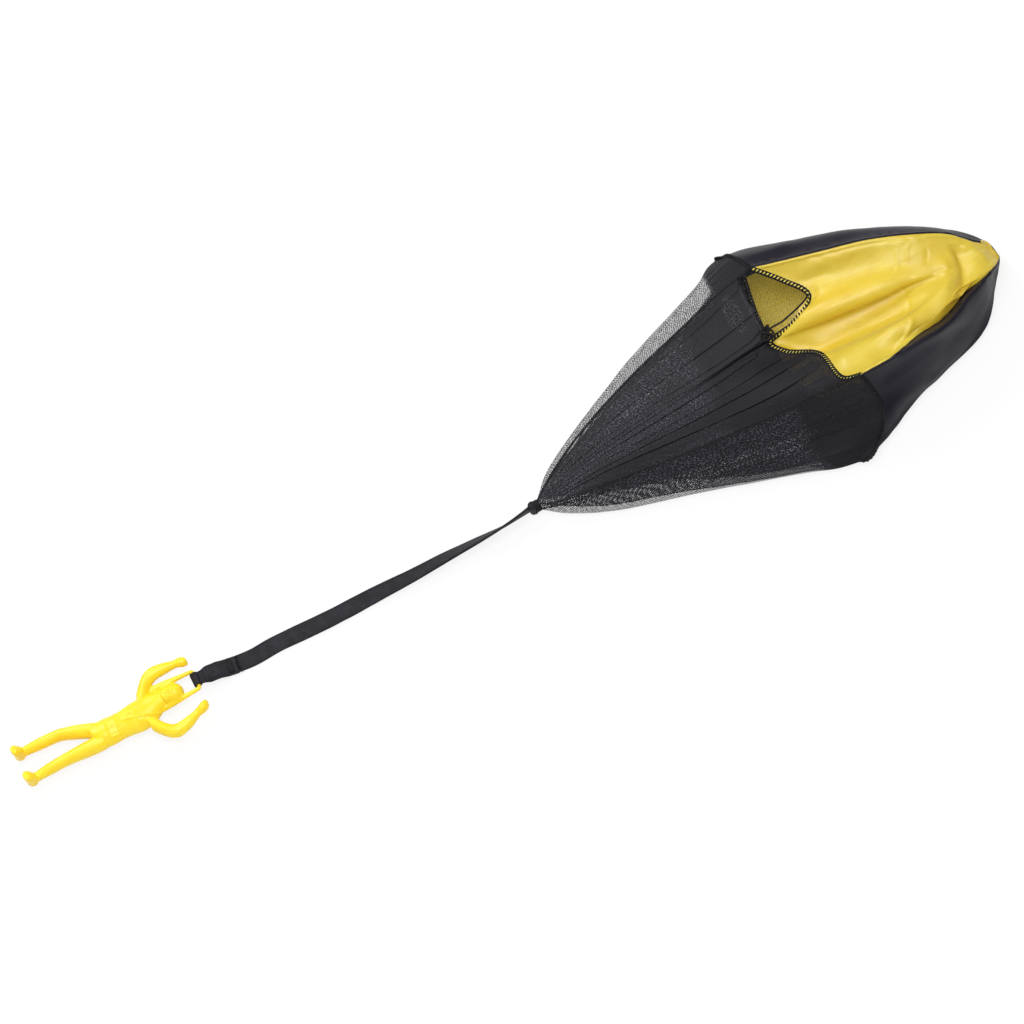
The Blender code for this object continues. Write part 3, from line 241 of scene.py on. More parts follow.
# Rails of the nets. Each goes on from the gore rail's hem point to the gather.
NET_RAIL_SHARES = {
    "near_top_seam": (
        (0.62, -0.586, 1.525), (0.47, -0.49, 1.225), (0.32, -0.38, 0.975), (0.16, -0.246, 0.70),
        (0.06, -0.16, 0.48), (0.015, -0.08, 0.33),
    ),
    "top_near_slope": (
        (0.60, -0.40, 1.22), (0.47, -0.328, 1.04), (0.32, -0.252, 0.84), (0.16, -0.172, 0.64),
        (0.06, -0.128, 0.46), (0.015, -0.072, 0.335),
    ),
    "top_highlight": (
        (0.59, -0.144, 1.0), (0.47, -0.13, 0.865), (0.32, -0.112, 0.725), (0.16, -0.096, 0.58),
        (0.06, -0.092, 0.445), (0.015, -0.064, 0.34),
    ),
    "top_valley_bank": (
        (0.55, 0.058, 0.80), (0.46, 0.04, 0.745), (0.32, 0.01, 0.65), (0.16, -0.024, 0.54),
        (0.06, -0.056, 0.435), (0.015, -0.056, 0.345),
    ),
    "top_valley": (
        (0.543, 0.204, 0.685), (0.46, 0.16, 0.66), (0.32, 0.10, 0.61), (0.16, 0.04, 0.52),
        (0.06, -0.024, 0.43), (0.015, -0.048, 0.345),
    ),
    "top_crease": (
        (0.575, 0.24, 0.815), (0.47, 0.204, 0.74), (0.32, 0.16, 0.65), (0.16, 0.09, 0.53),
        (0.06, 0.008, 0.43), (0.015, -0.042, 0.345),
    ),
    "top_far_valley": (
        (0.61, 0.372, 0.95), (0.48, 0.32, 0.84), (0.32, 0.26, 0.70), (0.16, 0.16, 0.55),
        (0.06, 0.04, 0.43), (0.015, -0.034, 0.34),
    ),
    "top_far_slope": (
        (0.59, 0.588, 1.10), (0.47, 0.516, 0.95), (0.32, 0.40, 0.775), (0.16, 0.23, 0.575),
        (0.06, 0.072, 0.43), (0.015, -0.026, 0.335),
    ),
    "far_top_seam": (
        (0.56, 0.76, 1.25), (0.46, 0.66, 1.09), (0.32, 0.52, 0.875), (0.16, 0.30, 0.625),
        (0.06, 0.10, 0.44), (0.015, -0.018, 0.33),
    ),
    "far_wall": (
        (0.568, 1.02, 0.87), (0.46, 0.86, 0.675), (0.32, 0.66, 0.55), (0.16, 0.38, 0.43),
        (0.06, 0.152, 0.34), (0.015, -0.006, 0.28),
    ),
    "far_bulge": (
        (0.568, 1.18, 0.38), (0.53, 1.092, 0.25), (0.46, 0.99, 0.21), (0.32, 0.766, 0.20),
        (0.16, 0.436, 0.20), (0.06, 0.19, 0.22), (0.015, 0.004, 0.23),
    ),
    "far_floor": (
        (0.574, 1.085, 0.37), (0.55, 1.07, 0.22), (0.52, 1.035, 0.08), (0.46, 0.945, 0.06),
        (0.32, 0.725, 0.06), (0.16, 0.41, 0.06), (0.06, 0.17, 0.115), (0.015, 0.002, 0.185),
    ),
    "far_bottom_seam": (
        (0.622, 1.017, 0.36), (0.598, 1.01, 0.37), (0.567, 0.995, 0.31), (0.543, 0.97, 0.15),
        (0.515, 0.93, 0.035), (0.46, 0.85, 0.03), (0.32, 0.645, 0.03), (0.16, 0.36, 0.03),
        (0.06, 0.14, 0.085), (0.015, -0.006, 0.15),
    ),
    "bottom_far": (
        (0.6155, 0.62, 0.25), (0.588, 0.62, 0.275), (0.558, 0.615, 0.24), (0.537, 0.605, 0.11),
        (0.516, 0.585, 0.0), (0.32, 0.40, 0.0), (0.16, 0.215, 0.0), (0.06, 0.07, 0.06),
        (0.015, -0.022, 0.12),
    ),
    "bottom_middle": (
        (0.613, 0.18, 0.25), (0.585, 0.18, 0.275), (0.555, 0.18, 0.24), (0.535, 0.18, 0.11),
        (0.515, 0.175, 0.0), (0.32, 0.13, 0.0), (0.16, 0.06, 0.0), (0.06, 0.0, 0.055),
        (0.015, -0.04, 0.115),
    ),
    "bottom_near": (
        (0.6245, -0.16, 0.25), (0.597, -0.16, 0.275), (0.567, -0.16, 0.24), (0.547, -0.16, 0.11),
        (0.527, -0.155, 0.0), (0.32, -0.11, 0.0), (0.16, -0.08, 0.0), (0.06, -0.064, 0.055),
        (0.015, -0.058, 0.115),
    ),
    "near_bottom_seam": (
        (0.6495, -0.44, 0.25), (0.622, -0.45, 0.27), (0.593, -0.455, 0.24), (0.573, -0.45, 0.11),
        (0.553, -0.44, 0.03), (0.32, -0.30, 0.03), (0.16, -0.20, 0.03), (0.06, -0.12, 0.075),
        (0.015, -0.078, 0.13),
    ),
    "near_floor": (
        (0.632, -0.818, 0.26), (0.61, -0.81, 0.24), (0.59, -0.79, 0.13), (0.57, -0.76, 0.05),
        (0.47, -0.62, 0.035),
        (0.32, -0.46, 0.035), (0.16, -0.31, 0.035), (0.06, -0.188, 0.10), (0.015, -0.092, 0.16),
    ),
    "near_bulge": (
        (0.615, -1.02, 0.14), (0.56, -0.93, 0.125), (0.47, -0.81, 0.125), (0.32, -0.61, 0.125),
        (0.16, -0.42, 0.125), (0.06, -0.228, 0.14), (0.015, -0.10, 0.20),
    ),
    "near_lobe": (
        (0.62, -0.965, 0.38), (0.47, -0.79, 0.26), (0.32, -0.60, 0.20), (0.16, -0.41, 0.18),
        (0.06, -0.228, 0.18), (0.015, -0.10, 0.22),
    ),
    "near_low_wall": (
        (0.62, -0.90, 0.50), (0.47, -0.76, 0.38), (0.32, -0.58, 0.30), (0.16, -0.40, 0.25),
        (0.06, -0.225, 0.24), (0.015, -0.10, 0.235),
    ),
    "near_wall": (
        (0.62, -0.772, 0.78), (0.47, -0.68, 0.65), (0.32, -0.52, 0.525), (0.16, -0.35, 0.40),
        (0.06, -0.21, 0.325), (0.015, -0.096, 0.27),
    ),
}

# Each side of the canopy: its rails from seam to seam
SIDES = {
    Side.TOP: (
        "near_top_seam", "top_near_slope", "top_highlight", "top_valley_bank", "top_valley",
        "top_crease", "top_far_valley", "top_far_slope", "far_top_seam",
    ),
    Side.FAR: ("far_top_seam", "far_wall", "far_bulge", "far_floor", "far_bottom_seam"),
    Side.BOTTOM: ("far_bottom_seam", "bottom_far", "bottom_middle", "bottom_near", "near_bottom_seam"),
    Side.NEAR: (
        "near_bottom_seam", "near_floor", "near_bulge", "near_lobe", "near_low_wall", "near_wall",
        "near_top_seam",
    ),
}

# Parts of the figure, in rings: (along, across, up, half width, half depth) in shares of its sizes
TORSO_SHARES = (
    (0.435, 0.16, 0.50, 0.46, 0.38), (0.470, -0.17, 0.50, 0.58, 0.43), (0.519, -0.18, 0.51, 0.65, 0.46),
    (0.609, -0.19, 0.51, 0.61, 0.43), (0.712, -0.20, 0.54, 0.71, 0.50), (0.776, -0.16, 0.53, 0.70, 0.45),
    (0.822, -0.06, 0.52, 0.60, 0.42), (0.855, 0.01, 0.52, 0.50, 0.38), (0.885, 0.02, 0.52, 0.40, 0.34),
)
HEAD_SHARES = (
    (0.862, 0.02, 0.52, 0.20, 0.22), (0.880, 0.02, 0.54, 0.36, 0.40), (0.915, 0.02, 0.55, 0.42, 0.46),
    (0.950, 0.02, 0.53, 0.40, 0.42), (0.975, 0.02, 0.52, 0.24, 0.26),
)
HELMET_SHARES = (
    (0.884, 0.02, 0.42, 0.40, 0.34), (0.893, 0.02, 0.44, 0.49, 0.42), (0.915, 0.02, 0.47, 0.48, 0.44),
    (0.950, 0.02, 0.50, 0.46, 0.46), (0.980, 0.02, 0.51, 0.36, 0.38), (0.998, 0.02, 0.52, 0.20, 0.22),
    (1.003, 0.02, 0.52, 0.08, 0.08),
)
LIMB_SHARES = {
    "far_leg": (
        (0.030, 0.88, 0.36, 0.22, 0.26), (0.060, 0.87, 0.40, 0.21, 0.23), (0.150, 0.84, 0.44, 0.26, 0.28),
        (0.262, 0.78, 0.48, 0.27, 0.30), (0.330, 0.62, 0.49, 0.31, 0.34), (0.400, 0.40, 0.50, 0.35, 0.38),
        (0.480, 0.14, 0.50, 0.36, 0.38), (0.530, 0.08, 0.50, 0.26, 0.26), (0.560, 0.05, 0.50, 0.10, 0.10),
    ),
    "near_leg": (
        (0.030, -0.48, 0.36, 0.22, 0.26), (0.060, -0.47, 0.40, 0.21, 0.23), (0.150, -0.43, 0.44, 0.26, 0.28),
        (0.237, -0.42, 0.48, 0.27, 0.30), (0.320, -0.43, 0.49, 0.31, 0.34), (0.400, -0.46, 0.50, 0.35, 0.38),
        (0.480, -0.46, 0.50, 0.36, 0.38), (0.530, -0.38, 0.50, 0.26, 0.26), (0.560, -0.34, 0.50, 0.10, 0.10),
    ),
    "far_arm": (
        (0.752, 0.26, 0.54, 0.44, 0.38), (0.800, 0.72, 0.55, 0.46, 0.36), (0.850, 1.14, 0.56, 0.36, 0.32),
        (0.895, 1.28, 0.57, 0.30, 0.30), (0.960, 1.26, 0.58, 0.25, 0.26), (1.022, 1.20, 0.58, 0.17, 0.20),
        (1.050, 1.16, 0.58, 0.23, 0.25), (1.078, 1.11, 0.58, 0.21, 0.22), (1.090, 1.09, 0.58, 0.11, 0.12),
    ),
    "near_arm": (
        (0.752, -0.68, 0.54, 0.44, 0.38), (0.798, -1.12, 0.55, 0.46, 0.36), (0.845, -1.52, 0.56, 0.36, 0.32),
        (0.886, -1.65, 0.57, 0.30, 0.30), (0.955, -1.54, 0.58, 0.26, 0.26), (1.022, -1.33, 0.58, 0.18, 0.20),
        (1.052, -1.24, 0.58, 0.23, 0.25), (1.080, -1.16, 0.58, 0.21, 0.22), (1.093, -1.12, 0.58, 0.11, 0.12),
    ),
}
SHOE_SHARES = (
    (0.034, 0.0, 0.10, 0.21, 0.028), (0.036, 0.0, 0.22, 0.24, 0.034), (0.034, 0.0, 0.60, 0.25, 0.032),
    (0.024, 0.0, 0.92, 0.26, 0.024), (0.017, 0.0, 1.08, 0.20, 0.016),
)
SHOE_ACROSS_SHARES = {"far_shoe": 0.88, "near_shoe": -0.47}


# A wave texture of scale 1 repeats after this many metres along an axis
BAND_PERIOD = math.pi / 10


def linear(hex_colour: str) -> tuple[float, float, float, float]:
    """Turns an sRGB hex value into linear light.

    Args:
        hex_colour: six hex digits, such as "E8C832".

    Returns:
        Red, green, blue and an alpha of 1.
    """
    levels = [int(hex_colour[i:i + 2], 16) / 255 for i in (0, 2, 4)]
    red, green, blue = (v / 12.92 if v <= 0.04045 else ((v + 0.055) / 1.055) ** 2.4 for v in levels)
    return red, green, blue, 1.0


def add_node(tree: bpy.types.NodeTree, kind: str, links: dict | None = None, **settings) -> bpy.types.Node:
    """Adds one node with its settings and its inputs.

    Args:
        tree: the tree that gets the node.
        kind: the node's type name.
        links: for an input's name or number, the socket that feeds it or its plain value.
        settings: attributes of the node.

    Returns:
        The new node.
    """
    node = tree.nodes.new(kind)
    for name, value in settings.items():
        setattr(node, name, value)
    for key, value in (links or {}).items():
        socket = node.inputs[key]
        if isinstance(value, bpy.types.NodeSocket):
            tree.links.new(value, socket)
        else:
            socket.default_value = value
    return node


@dataclass(frozen=True)
class Finish:
    """A surface finish that builds its own material, once."""

    name: str

    def nodes(self, tree: bpy.types.NodeTree) -> bpy.types.NodeSocket:
        """Builds the finish's nodes in the tree and returns the surface's shader."""
        raise NotImplementedError

    def material(self) -> bpy.types.Material:
        """Finds the finish's material, or makes it on first use.

        Returns:
            The material.
        """
        found = bpy.data.materials.get(self.name)
        if found:
            return found
        material = bpy.data.materials.new(self.name)
        material.use_nodes = True
        tree = material.node_tree
        tree.nodes.clear()
        add_node(tree, "ShaderNodeOutputMaterial", {"Surface": self.nodes(tree)})
        return material


@dataclass(frozen=True)
class Satin(Finish):
    """Polyester satin: long floats on the face give a soft, one-way sheen and fine warp lines."""

    colour: str
    shade: str
    roughness: float
    sheen: float
    translucence: float = 0.0
    specular: float = 0.5
    thread_spacing: float = 0.35 * MM
    slub_length: float = 6 * MM
    cloud_size: float = 16.67 * MM

    def nodes(self, tree: bpy.types.NodeTree) -> bpy.types.NodeSocket:
        """Builds the warp lines, the faint slubs and the sheen.

        Args:
            tree: the material's node tree.

        Returns:
            The shader's output socket.
        """
        cloth = add_node(tree, "ShaderNodeUVMap", uv_map="cloth").outputs["UV"]
        stretched = add_node(tree, "ShaderNodeMapping", {
            "Vector": cloth, "Scale": (1 / self.thread_spacing, 1 / self.slub_length, 1.0),
        }).outputs["Vector"]
        warp = add_node(tree, "ShaderNodeTexNoise", {"Vector": stretched, "Scale": 1.0, "Detail": 2.0})
        place = add_node(tree, "ShaderNodeTexCoord").outputs["Object"]
        cloudy = add_node(tree, "ShaderNodeTexNoise", {
            "Vector": place, "Scale": 1 / self.cloud_size, "Detail": 3.0,
        })
        mixed = add_node(tree, "ShaderNodeMath", {0: warp.outputs["Fac"], 1: cloudy.outputs["Fac"]},
                         operation="MULTIPLY").outputs["Value"]
        share = add_node(tree, "ShaderNodeMapRange", {
            "Value": mixed, "From Min": 0.12, "From Max": 0.38,
        }).outputs["Result"]
        colour = add_node(tree, "ShaderNodeMix", {
            "Factor": share, "A": linear(self.shade), "B": linear(self.colour),
        }, data_type="RGBA")
        bump = add_node(tree, "ShaderNodeBump", {
            "Height": warp.outputs["Fac"], "Strength": 0.12, "Distance": 0.1 * MM,
        }).outputs["Normal"]
        shader = add_node(tree, "ShaderNodeBsdfPrincipled", {
            "Base Color": colour.outputs[2], "Roughness": self.roughness, "Normal": bump,
            "Specular IOR Level": self.specular, "Sheen Weight": self.sheen, "Sheen Roughness": 0.35,
            "Sheen Tint": (1.0, 0.97, 0.85, 1.0),
        }).outputs["BSDF"]
        through = add_node(tree, "ShaderNodeBsdfTranslucent", {"Color": colour.outputs[2]}).outputs["BSDF"]
        cloth_face = add_node(tree, "ShaderNodeMixShader", {0: self.translucence, 1: shader, 2: through})
        clear = add_node(tree, "ShaderNodeBsdfTransparent").outputs["BSDF"]
        # A ray inside the cloth's thickness leaves it freely, so the light is scattered once, not twice
        inner = add_node(tree, "ShaderNodeNewGeometry").outputs["Backfacing"]
        return add_node(tree, "ShaderNodeMixShader", {
            0: inner, 1: cloth_face.outputs["Shader"], 2: clear,
        }).outputs["Shader"]


@dataclass(frozen=True)
class Net(Finish):
    """Warp-knitted nylon net: see-through between fine matt threads, with faint grey glints painted on them.
    """

    colour: str
    # The colour of the painted glints on the threads
    painted_glint: str
    # The real holes are a few tenths of a millimetre wide. They are drawn as coarse as they must be to show.
    hole_spacing: float = 0.8 * MM
    thread_share: float = 0.16
    dense_share: float = 0.9
    wander: float = 0.55 * MM
    wander_size: float = 0.8333 * MM
    glint_spacing: float = 0.75 * MM
    glint_patch: float = 18.18 * MM
    roughness: float = 0.55

    def nodes(self, tree: bpy.types.NodeTree) -> bpy.types.NodeSocket:
        """Builds a lozenge mesh of threads and the clear holes between them, with painted glints on the
        threads.

        Args:
            tree: the material's node tree.

        Returns:
            The shader's output socket.
        """
        cloth = add_node(tree, "ShaderNodeUVMap", uv_map="cloth").outputs["UV"]
        wander = add_node(tree, "ShaderNodeTexNoise", {
            "Vector": cloth, "Scale": 1 / self.wander_size, "Detail": 2.0,
        })
        shift = add_node(tree, "ShaderNodeVectorMath", {
            0: wander.outputs["Color"], 1: (0.5, 0.5, 0.5),
        }, operation="SUBTRACT").outputs["Vector"]
        moved = add_node(tree, "ShaderNodeVectorMath", {
            0: shift, 1: (self.wander,) * 3, 2: cloth,
        }, operation="MULTIPLY_ADD").outputs["Vector"]
        lozenge = add_node(tree, "ShaderNodeMapping", {
            "Vector": moved, "Rotation": (0.0, 0.0, math.radians(38)), "Scale": (1 / self.hole_spacing,) * 3,
        }).outputs["Vector"]
        parts = add_node(tree, "ShaderNodeSeparateXYZ", {"Vector": lozenge})
        walls = []
        for axis in ("X", "Y"):
            saw = add_node(tree, "ShaderNodeMath", {0: parts.outputs[axis]}, operation="FRACT")
            middle = add_node(tree, "ShaderNodeMath", {0: saw.outputs["Value"], 1: 0.5}, operation="SUBTRACT")
            away = add_node(tree, "ShaderNodeMath", {0: middle.outputs["Value"]}, operation="ABSOLUTE")
            walls.append(away.outputs["Value"])
        nearest = add_node(tree, "ShaderNodeMath", {0: walls[0], 1: walls[1]}, operation="MINIMUM")
        density = add_node(tree, "ShaderNodeAttribute", attribute_name="closeness").outputs["Fac"]
        half = add_node(tree, "ShaderNodeMapRange", {
            "Value": density, "To Min": self.thread_share / 2, "To Max": self.dense_share / 2,
        }).outputs["Result"]
        core = add_node(tree, "ShaderNodeMath", {0: half, 1: 0.7}, operation="MULTIPLY").outputs["Value"]
        rim = add_node(tree, "ShaderNodeMath", {0: half, 1: 1.3}, operation="MULTIPLY").outputs["Value"]
        thread = add_node(tree, "ShaderNodeMapRange", {
            "Value": nearest.outputs["Value"], "From Min": core, "From Max": rim,
            "To Min": 1.0, "To Max": 0.0,
        }).outputs["Result"]
        # Painted glints: the threads' colour is lightened here and there, in patches, which speckles the
        # cloth; they fade where the net is bunched close
        specks = add_node(tree, "ShaderNodeTexNoise", {
            "Vector": cloth, "Scale": 1 / self.glint_spacing, "Detail": 2.0,
        }).outputs["Fac"]
        lit = add_node(tree, "ShaderNodeMapRange", {
            "Value": specks, "From Min": 0.50, "From Max": 0.68,
        }).outputs["Result"]
        patches = add_node(tree, "ShaderNodeTexNoise", {
            "Vector": cloth, "Scale": 1 / self.glint_patch, "Detail": 2.0,
        }).outputs["Fac"]
        strong = add_node(tree, "ShaderNodeMapRange", {
            "Value": patches, "From Min": 0.35, "From Max": 0.65, "To Min": 0.5,
        }).outputs["Result"]
        loose = add_node(tree, "ShaderNodeMapRange", {
            "Value": density, "From Min": 0.70, "From Max": 0.85, "To Min": 1.0, "To Max": 0.08,
        }).outputs["Result"]
        painted_shine = add_node(tree, "ShaderNodeMath", {0: lit, 1: strong}, operation="MULTIPLY").outputs["Value"]
        painted_shine = add_node(tree, "ShaderNodeMath", {0: painted_shine, 1: loose}, operation="MULTIPLY").outputs["Value"]
        colour = add_node(tree, "ShaderNodeMix", {
            "Factor": painted_shine, "A": linear(self.colour), "B": linear(self.painted_glint),
        }, data_type="RGBA")
        clear = add_node(tree, "ShaderNodeBsdfTransparent").outputs["BSDF"]
        nylon = add_node(tree, "ShaderNodeBsdfPrincipled", {
            "Base Color": colour.outputs[2], "Roughness": self.roughness, "Specular IOR Level": 0.2,
        }).outputs["BSDF"]
        return add_node(tree, "ShaderNodeMixShader", {0: thread, 1: clear, 2: nylon}).outputs["Shader"]


@dataclass(frozen=True)
class Thread(Finish):
    """Spun polyester sewing thread: matt, with the short slanting lines of its two twisted plies."""

    colour: str
    # The real plies lie 0.5 mm apart. They are drawn twice as coarse, so that they show.
    ply_spacing: float = 1.088 * MM

    def nodes(self, tree: bpy.types.NodeTree) -> bpy.types.NodeSocket:
        """Builds the twist lines on a matt thread.

        Args:
            tree: the material's node tree.

        Returns:
            The shader's output socket.
        """
        place = add_node(tree, "ShaderNodeTexCoord").outputs["Object"]
        twist = add_node(tree, "ShaderNodeTexWave", {
            "Vector": place, "Scale": 2 / math.sqrt(3) * BAND_PERIOD / self.ply_spacing,
            "Distortion": 1.5, "Detail": 1.0,
        }, bands_direction="DIAGONAL")
        bump = add_node(tree, "ShaderNodeBump", {
            "Height": twist.outputs["Fac"], "Strength": 0.4, "Distance": 0.05 * MM,
        }).outputs["Normal"]
        shader = add_node(tree, "ShaderNodeBsdfPrincipled", {
            "Base Color": linear(self.colour), "Roughness": 0.7, "Specular IOR Level": 0.25, "Normal": bump,
        })
        return shader.outputs["BSDF"]


@dataclass(frozen=True)
class Ribbon(Finish):
    """Woven polyester ribbon: cross ribs a fraction of a millimetre apart, and a matt black."""

    colour: str
    worn: str
    rib_spacing: float = 0.55 * MM
    rubbed_size: float = 6.25 * MM

    def nodes(self, tree: bpy.types.NodeTree) -> bpy.types.NodeSocket:
        """Builds the ribs, the warp lines and the rubbed tops of the ribs.

        Args:
            tree: the material's node tree.

        Returns:
            The shader's output socket.
        """
        cloth = add_node(tree, "ShaderNodeUVMap", uv_map="cloth").outputs["UV"]
        ribs = add_node(tree, "ShaderNodeTexWave", {
            "Vector": cloth, "Scale": BAND_PERIOD / self.rib_spacing, "Distortion": 0.6, "Detail": 1.0,
        }, bands_direction="Y")
        warp = add_node(tree, "ShaderNodeTexWave", {
            "Vector": cloth, "Scale": BAND_PERIOD / self.rib_spacing * 1.4, "Distortion": 0.4,
        }, bands_direction="X")
        weave = add_node(tree, "ShaderNodeMath", {0: ribs.outputs["Fac"], 1: warp.outputs["Fac"]},
                         operation="ADD").outputs["Value"]
        rubbed = add_node(tree, "ShaderNodeTexNoise", {
            "Vector": cloth, "Scale": 1 / self.rubbed_size, "Detail": 3.0,
        }).outputs["Fac"]
        wear = add_node(tree, "ShaderNodeMapRange", {
            "Value": rubbed, "From Min": 0.45, "From Max": 0.75,
        }).outputs["Result"]
        colour = add_node(tree, "ShaderNodeMix", {
            "Factor": wear, "A": linear(self.colour), "B": linear(self.worn),
        }, data_type="RGBA")
        bump = add_node(tree, "ShaderNodeBump", {
            "Height": weave, "Strength": 0.5, "Distance": 0.1 * MM,
        }).outputs["Normal"]
        shader = add_node(tree, "ShaderNodeBsdfPrincipled", {
            "Base Color": colour.outputs[2], "Roughness": 0.62, "Specular IOR Level": 0.3, "Normal": bump,
        })
        return shader.outputs["BSDF"]


@dataclass(frozen=True)
class MouldedPolyethylene(Finish):
    """Injection-moulded polyethylene: waxy and slightly milky, glossy on its raised parts."""

    colour: str
    deep: str
    roughness: float = 0.3
    flow_size: float = 9.09 * MM
    grain_size: float = 0.4545 * MM

    def nodes(self, tree: bpy.types.NodeTree) -> bpy.types.NodeSocket:
        """Builds the flow marks, the fine mould texture and the waxy depth.

        Args:
            tree: the material's node tree.

        Returns:
            The shader's output socket.
        """
        place = add_node(tree, "ShaderNodeTexCoord").outputs["Object"]
        flow = add_node(tree, "ShaderNodeTexNoise", {
            "Vector": place, "Scale": 1 / self.flow_size, "Detail": 3.0,
        }).outputs["Fac"]
        grain = add_node(tree, "ShaderNodeTexNoise", {
            "Vector": place, "Scale": 1 / self.grain_size, "Detail": 2.0,
        }).outputs["Fac"]
        share = add_node(tree, "ShaderNodeMapRange", {
            "Value": flow, "From Min": 0.35, "From Max": 0.65,
        }).outputs["Result"]
        colour = add_node(tree, "ShaderNodeMix", {
            "Factor": share, "A": linear(self.deep), "B": linear(self.colour),
        }, data_type="RGBA")
        bump = add_node(tree, "ShaderNodeBump", {
            "Height": grain, "Strength": 0.08, "Distance": 0.05 * MM,
        }).outputs["Normal"]
        shader = add_node(tree, "ShaderNodeBsdfPrincipled", {
            "Base Color": colour.outputs[2], "Roughness": self.roughness, "Normal": bump,
            "Specular IOR Level": 0.35, "Subsurface Weight": 0.15, "Subsurface Radius": (1.0, 0.5, 0.1),
            "Subsurface Scale": 1.5 * MM,
        })
        return shader.outputs["BSDF"]


@dataclass(frozen=True)
class Paper(Finish):
    """White background paper, which the camera and reflections see as nearly pure white."""

    colour: str
    brightness: float = 0.86

    def nodes(self, tree: bpy.types.NodeTree) -> bpy.types.NodeSocket:
        """Mixes plain white into the paper for the camera, so only a faint shadow is left on it.

        Args:
            tree: the material's node tree.

        Returns:
            The shader's output socket.
        """
        path = add_node(tree, "ShaderNodeLightPath")
        seen = add_node(tree, "ShaderNodeMath", {
            0: path.outputs["Is Camera Ray"], 1: path.outputs["Is Glossy Ray"],
        }, operation="MAXIMUM").outputs["Value"]
        seen = add_node(tree, "ShaderNodeMath", {
            0: seen, 1: path.outputs["Is Transmission Ray"],
        }, operation="MAXIMUM").outputs["Value"]
        share = add_node(tree, "ShaderNodeMath", {0: seen, 1: self.brightness}, operation="MULTIPLY")
        paper = add_node(tree, "ShaderNodeBsdfPrincipled", {
            "Base Color": linear(self.colour), "Roughness": 0.9, "Specular IOR Level": 0.1,
        }).outputs["BSDF"]
        white = add_node(tree, "ShaderNodeEmission", {"Strength": 1.0}).outputs["Emission"]
        return add_node(tree, "ShaderNodeMixShader", {
            0: share.outputs["Value"], 1: paper, 2: white,
        }).outputs["Shader"]


# The yellow satin is thin, so that it glows where the light comes through, with soft gold in its valleys
YELLOW_SATIN = Satin("yellow_satin_cloth", "FCE44E", "F1D036", roughness=0.42, sheen=0.3, translucence=0.32,
                     specular=0.9)
# The black satin hides its weave: only a broad grey sheen shows its folds
BLACK_SATIN = Satin("black_satin_cloth", "1C1924", "17141E", roughness=0.40, sheen=0.0, specular=0.2)
# The hem's cut edge is a paler copy of the yellow satin: a painted highlight along the fold
EDGE_HIGHLIGHT_SATIN = Satin("satin_edge_painted_highlight", "F3E26E", "E3CB48", roughness=0.5, sheen=0.2)
# One layer of the net is a grey veil. Bunched, it closes up to a matt black. Its second colour is a painted
# glint
BLACK_NET = Net("black_net_cloth", "17161B", "5E5D69")
# Drawn together, the net looks like fine ribs of a dull black cloth
GATHERED_NET = Ribbon("gathered_net_cloth", "1B1A20", "2E2C34", rib_spacing=0.4 * MM)
# Sewing thread, whose matt black drinks the light against the satin
BLACK_THREAD = Thread("black_sewing_thread", "17171A")
# The strap's ribbon, whose ribs are rubbed a little grey
BLACK_RIBBON = Ribbon("black_ribbon_weave", "141218", "25232B")
# The figure's plastic is a clean, warm yellow that keeps its colour in the shade
YELLOW_PLASTIC = MouldedPolyethylene("yellow_polyethylene", "FFE030", "FFD824")
WHITE_PAPER = Paper("white_paper", "F4F4F4")


def smooth(points: np.ndarray, steps: int) -> np.ndarray:
    """Runs a centripetal Catmull-Rom curve through points.

    Args:
        points: places along the first axis, such as (count, 3) or (count, rows, 3).
        steps: how many places each span gets.

    Returns:
        The curve's places, along the first axis.
    """
    points = np.asarray(points, float)
    full = np.concatenate([2 * points[:1] - points[1:2], points, 2 * points[-1:] - points[-2:-1]])
    gaps = np.sqrt(np.linalg.norm(np.diff(full, axis=0), axis=-1, keepdims=True)) + 1e-9
    before, start, end, after = full[:-3], full[1:-2], full[2:-1], full[3:]
    first, second, third = gaps[:-2], gaps[:-2] + gaps[1:-1], gaps[:-2] + gaps[1:-1] + gaps[2:]
    spans = []
    for step in range(steps):
        t = first + (second - first) * step / steps
        low = before + (start - before) * t / first
        middle = start + (end - start) * (t - first) / (second - first)
        high = end + (after - end) * (t - second) / (third - second)
        left = low + (middle - low) * t / second
        right = middle + (high - middle) * (t - first) / (third - first)
        spans.append(left + (right - left) * (t - first) / (second - first))
    curve = np.stack(spans, axis=1).reshape(-1, *points.shape[1:])
    return np.concatenate([curve, points[-1:]])


def reaches(line: np.ndarray) -> np.ndarray:
    """Returns how far each place lies along a line of places."""
    return np.concatenate([[0.0], np.cumsum(np.linalg.norm(np.diff(line, axis=0), axis=1))])


def along(line: np.ndarray, shares: np.ndarray) -> np.ndarray:
    """Finds places on a line.

    Args:
        line: places of shape (count, 3).
        shares: how far along the line's length each wanted place is, from 0 to 1.

    Returns:
        The wanted places.
    """
    length = reaches(line)
    wanted = np.asarray(shares) * length[-1]
    return np.stack([np.interp(wanted, length, line[:, k]) for k in range(3)], axis=-1)


def circle(points: int) -> np.ndarray:
    """Returns that many points round a circle of radius 1, of shape (points, 2)."""
    turn = np.linspace(0, 2 * math.pi, points, endpoint=False)
    return np.stack([np.cos(turn), np.sin(turn)], axis=1)


def unit(vectors: np.ndarray) -> np.ndarray:
    """Scales vectors on the last axis to length 1."""
    return vectors / np.maximum(np.linalg.norm(vectors, axis=-1, keepdims=True), 1e-12)


def ease(values: np.ndarray, low: float, high: float) -> np.ndarray:
    """Rises smoothly from 0 at low to 1 at high, or falls where high is the smaller."""
    t = np.clip((values - low) / (high - low), 0.0, 1.0)
    return t * t * (3 - 2 * t)


def sight(points: np.ndarray) -> np.ndarray:
    """Turns places into what the camera sees: along from the gather, and across its line of sight."""
    across = points[..., 1] * math.sin(SIGHT_ANGLE) + points[..., 2] * math.cos(SIGHT_ANGLE)
    return np.stack([points[..., 0] - GATHER_X, across], axis=-1)


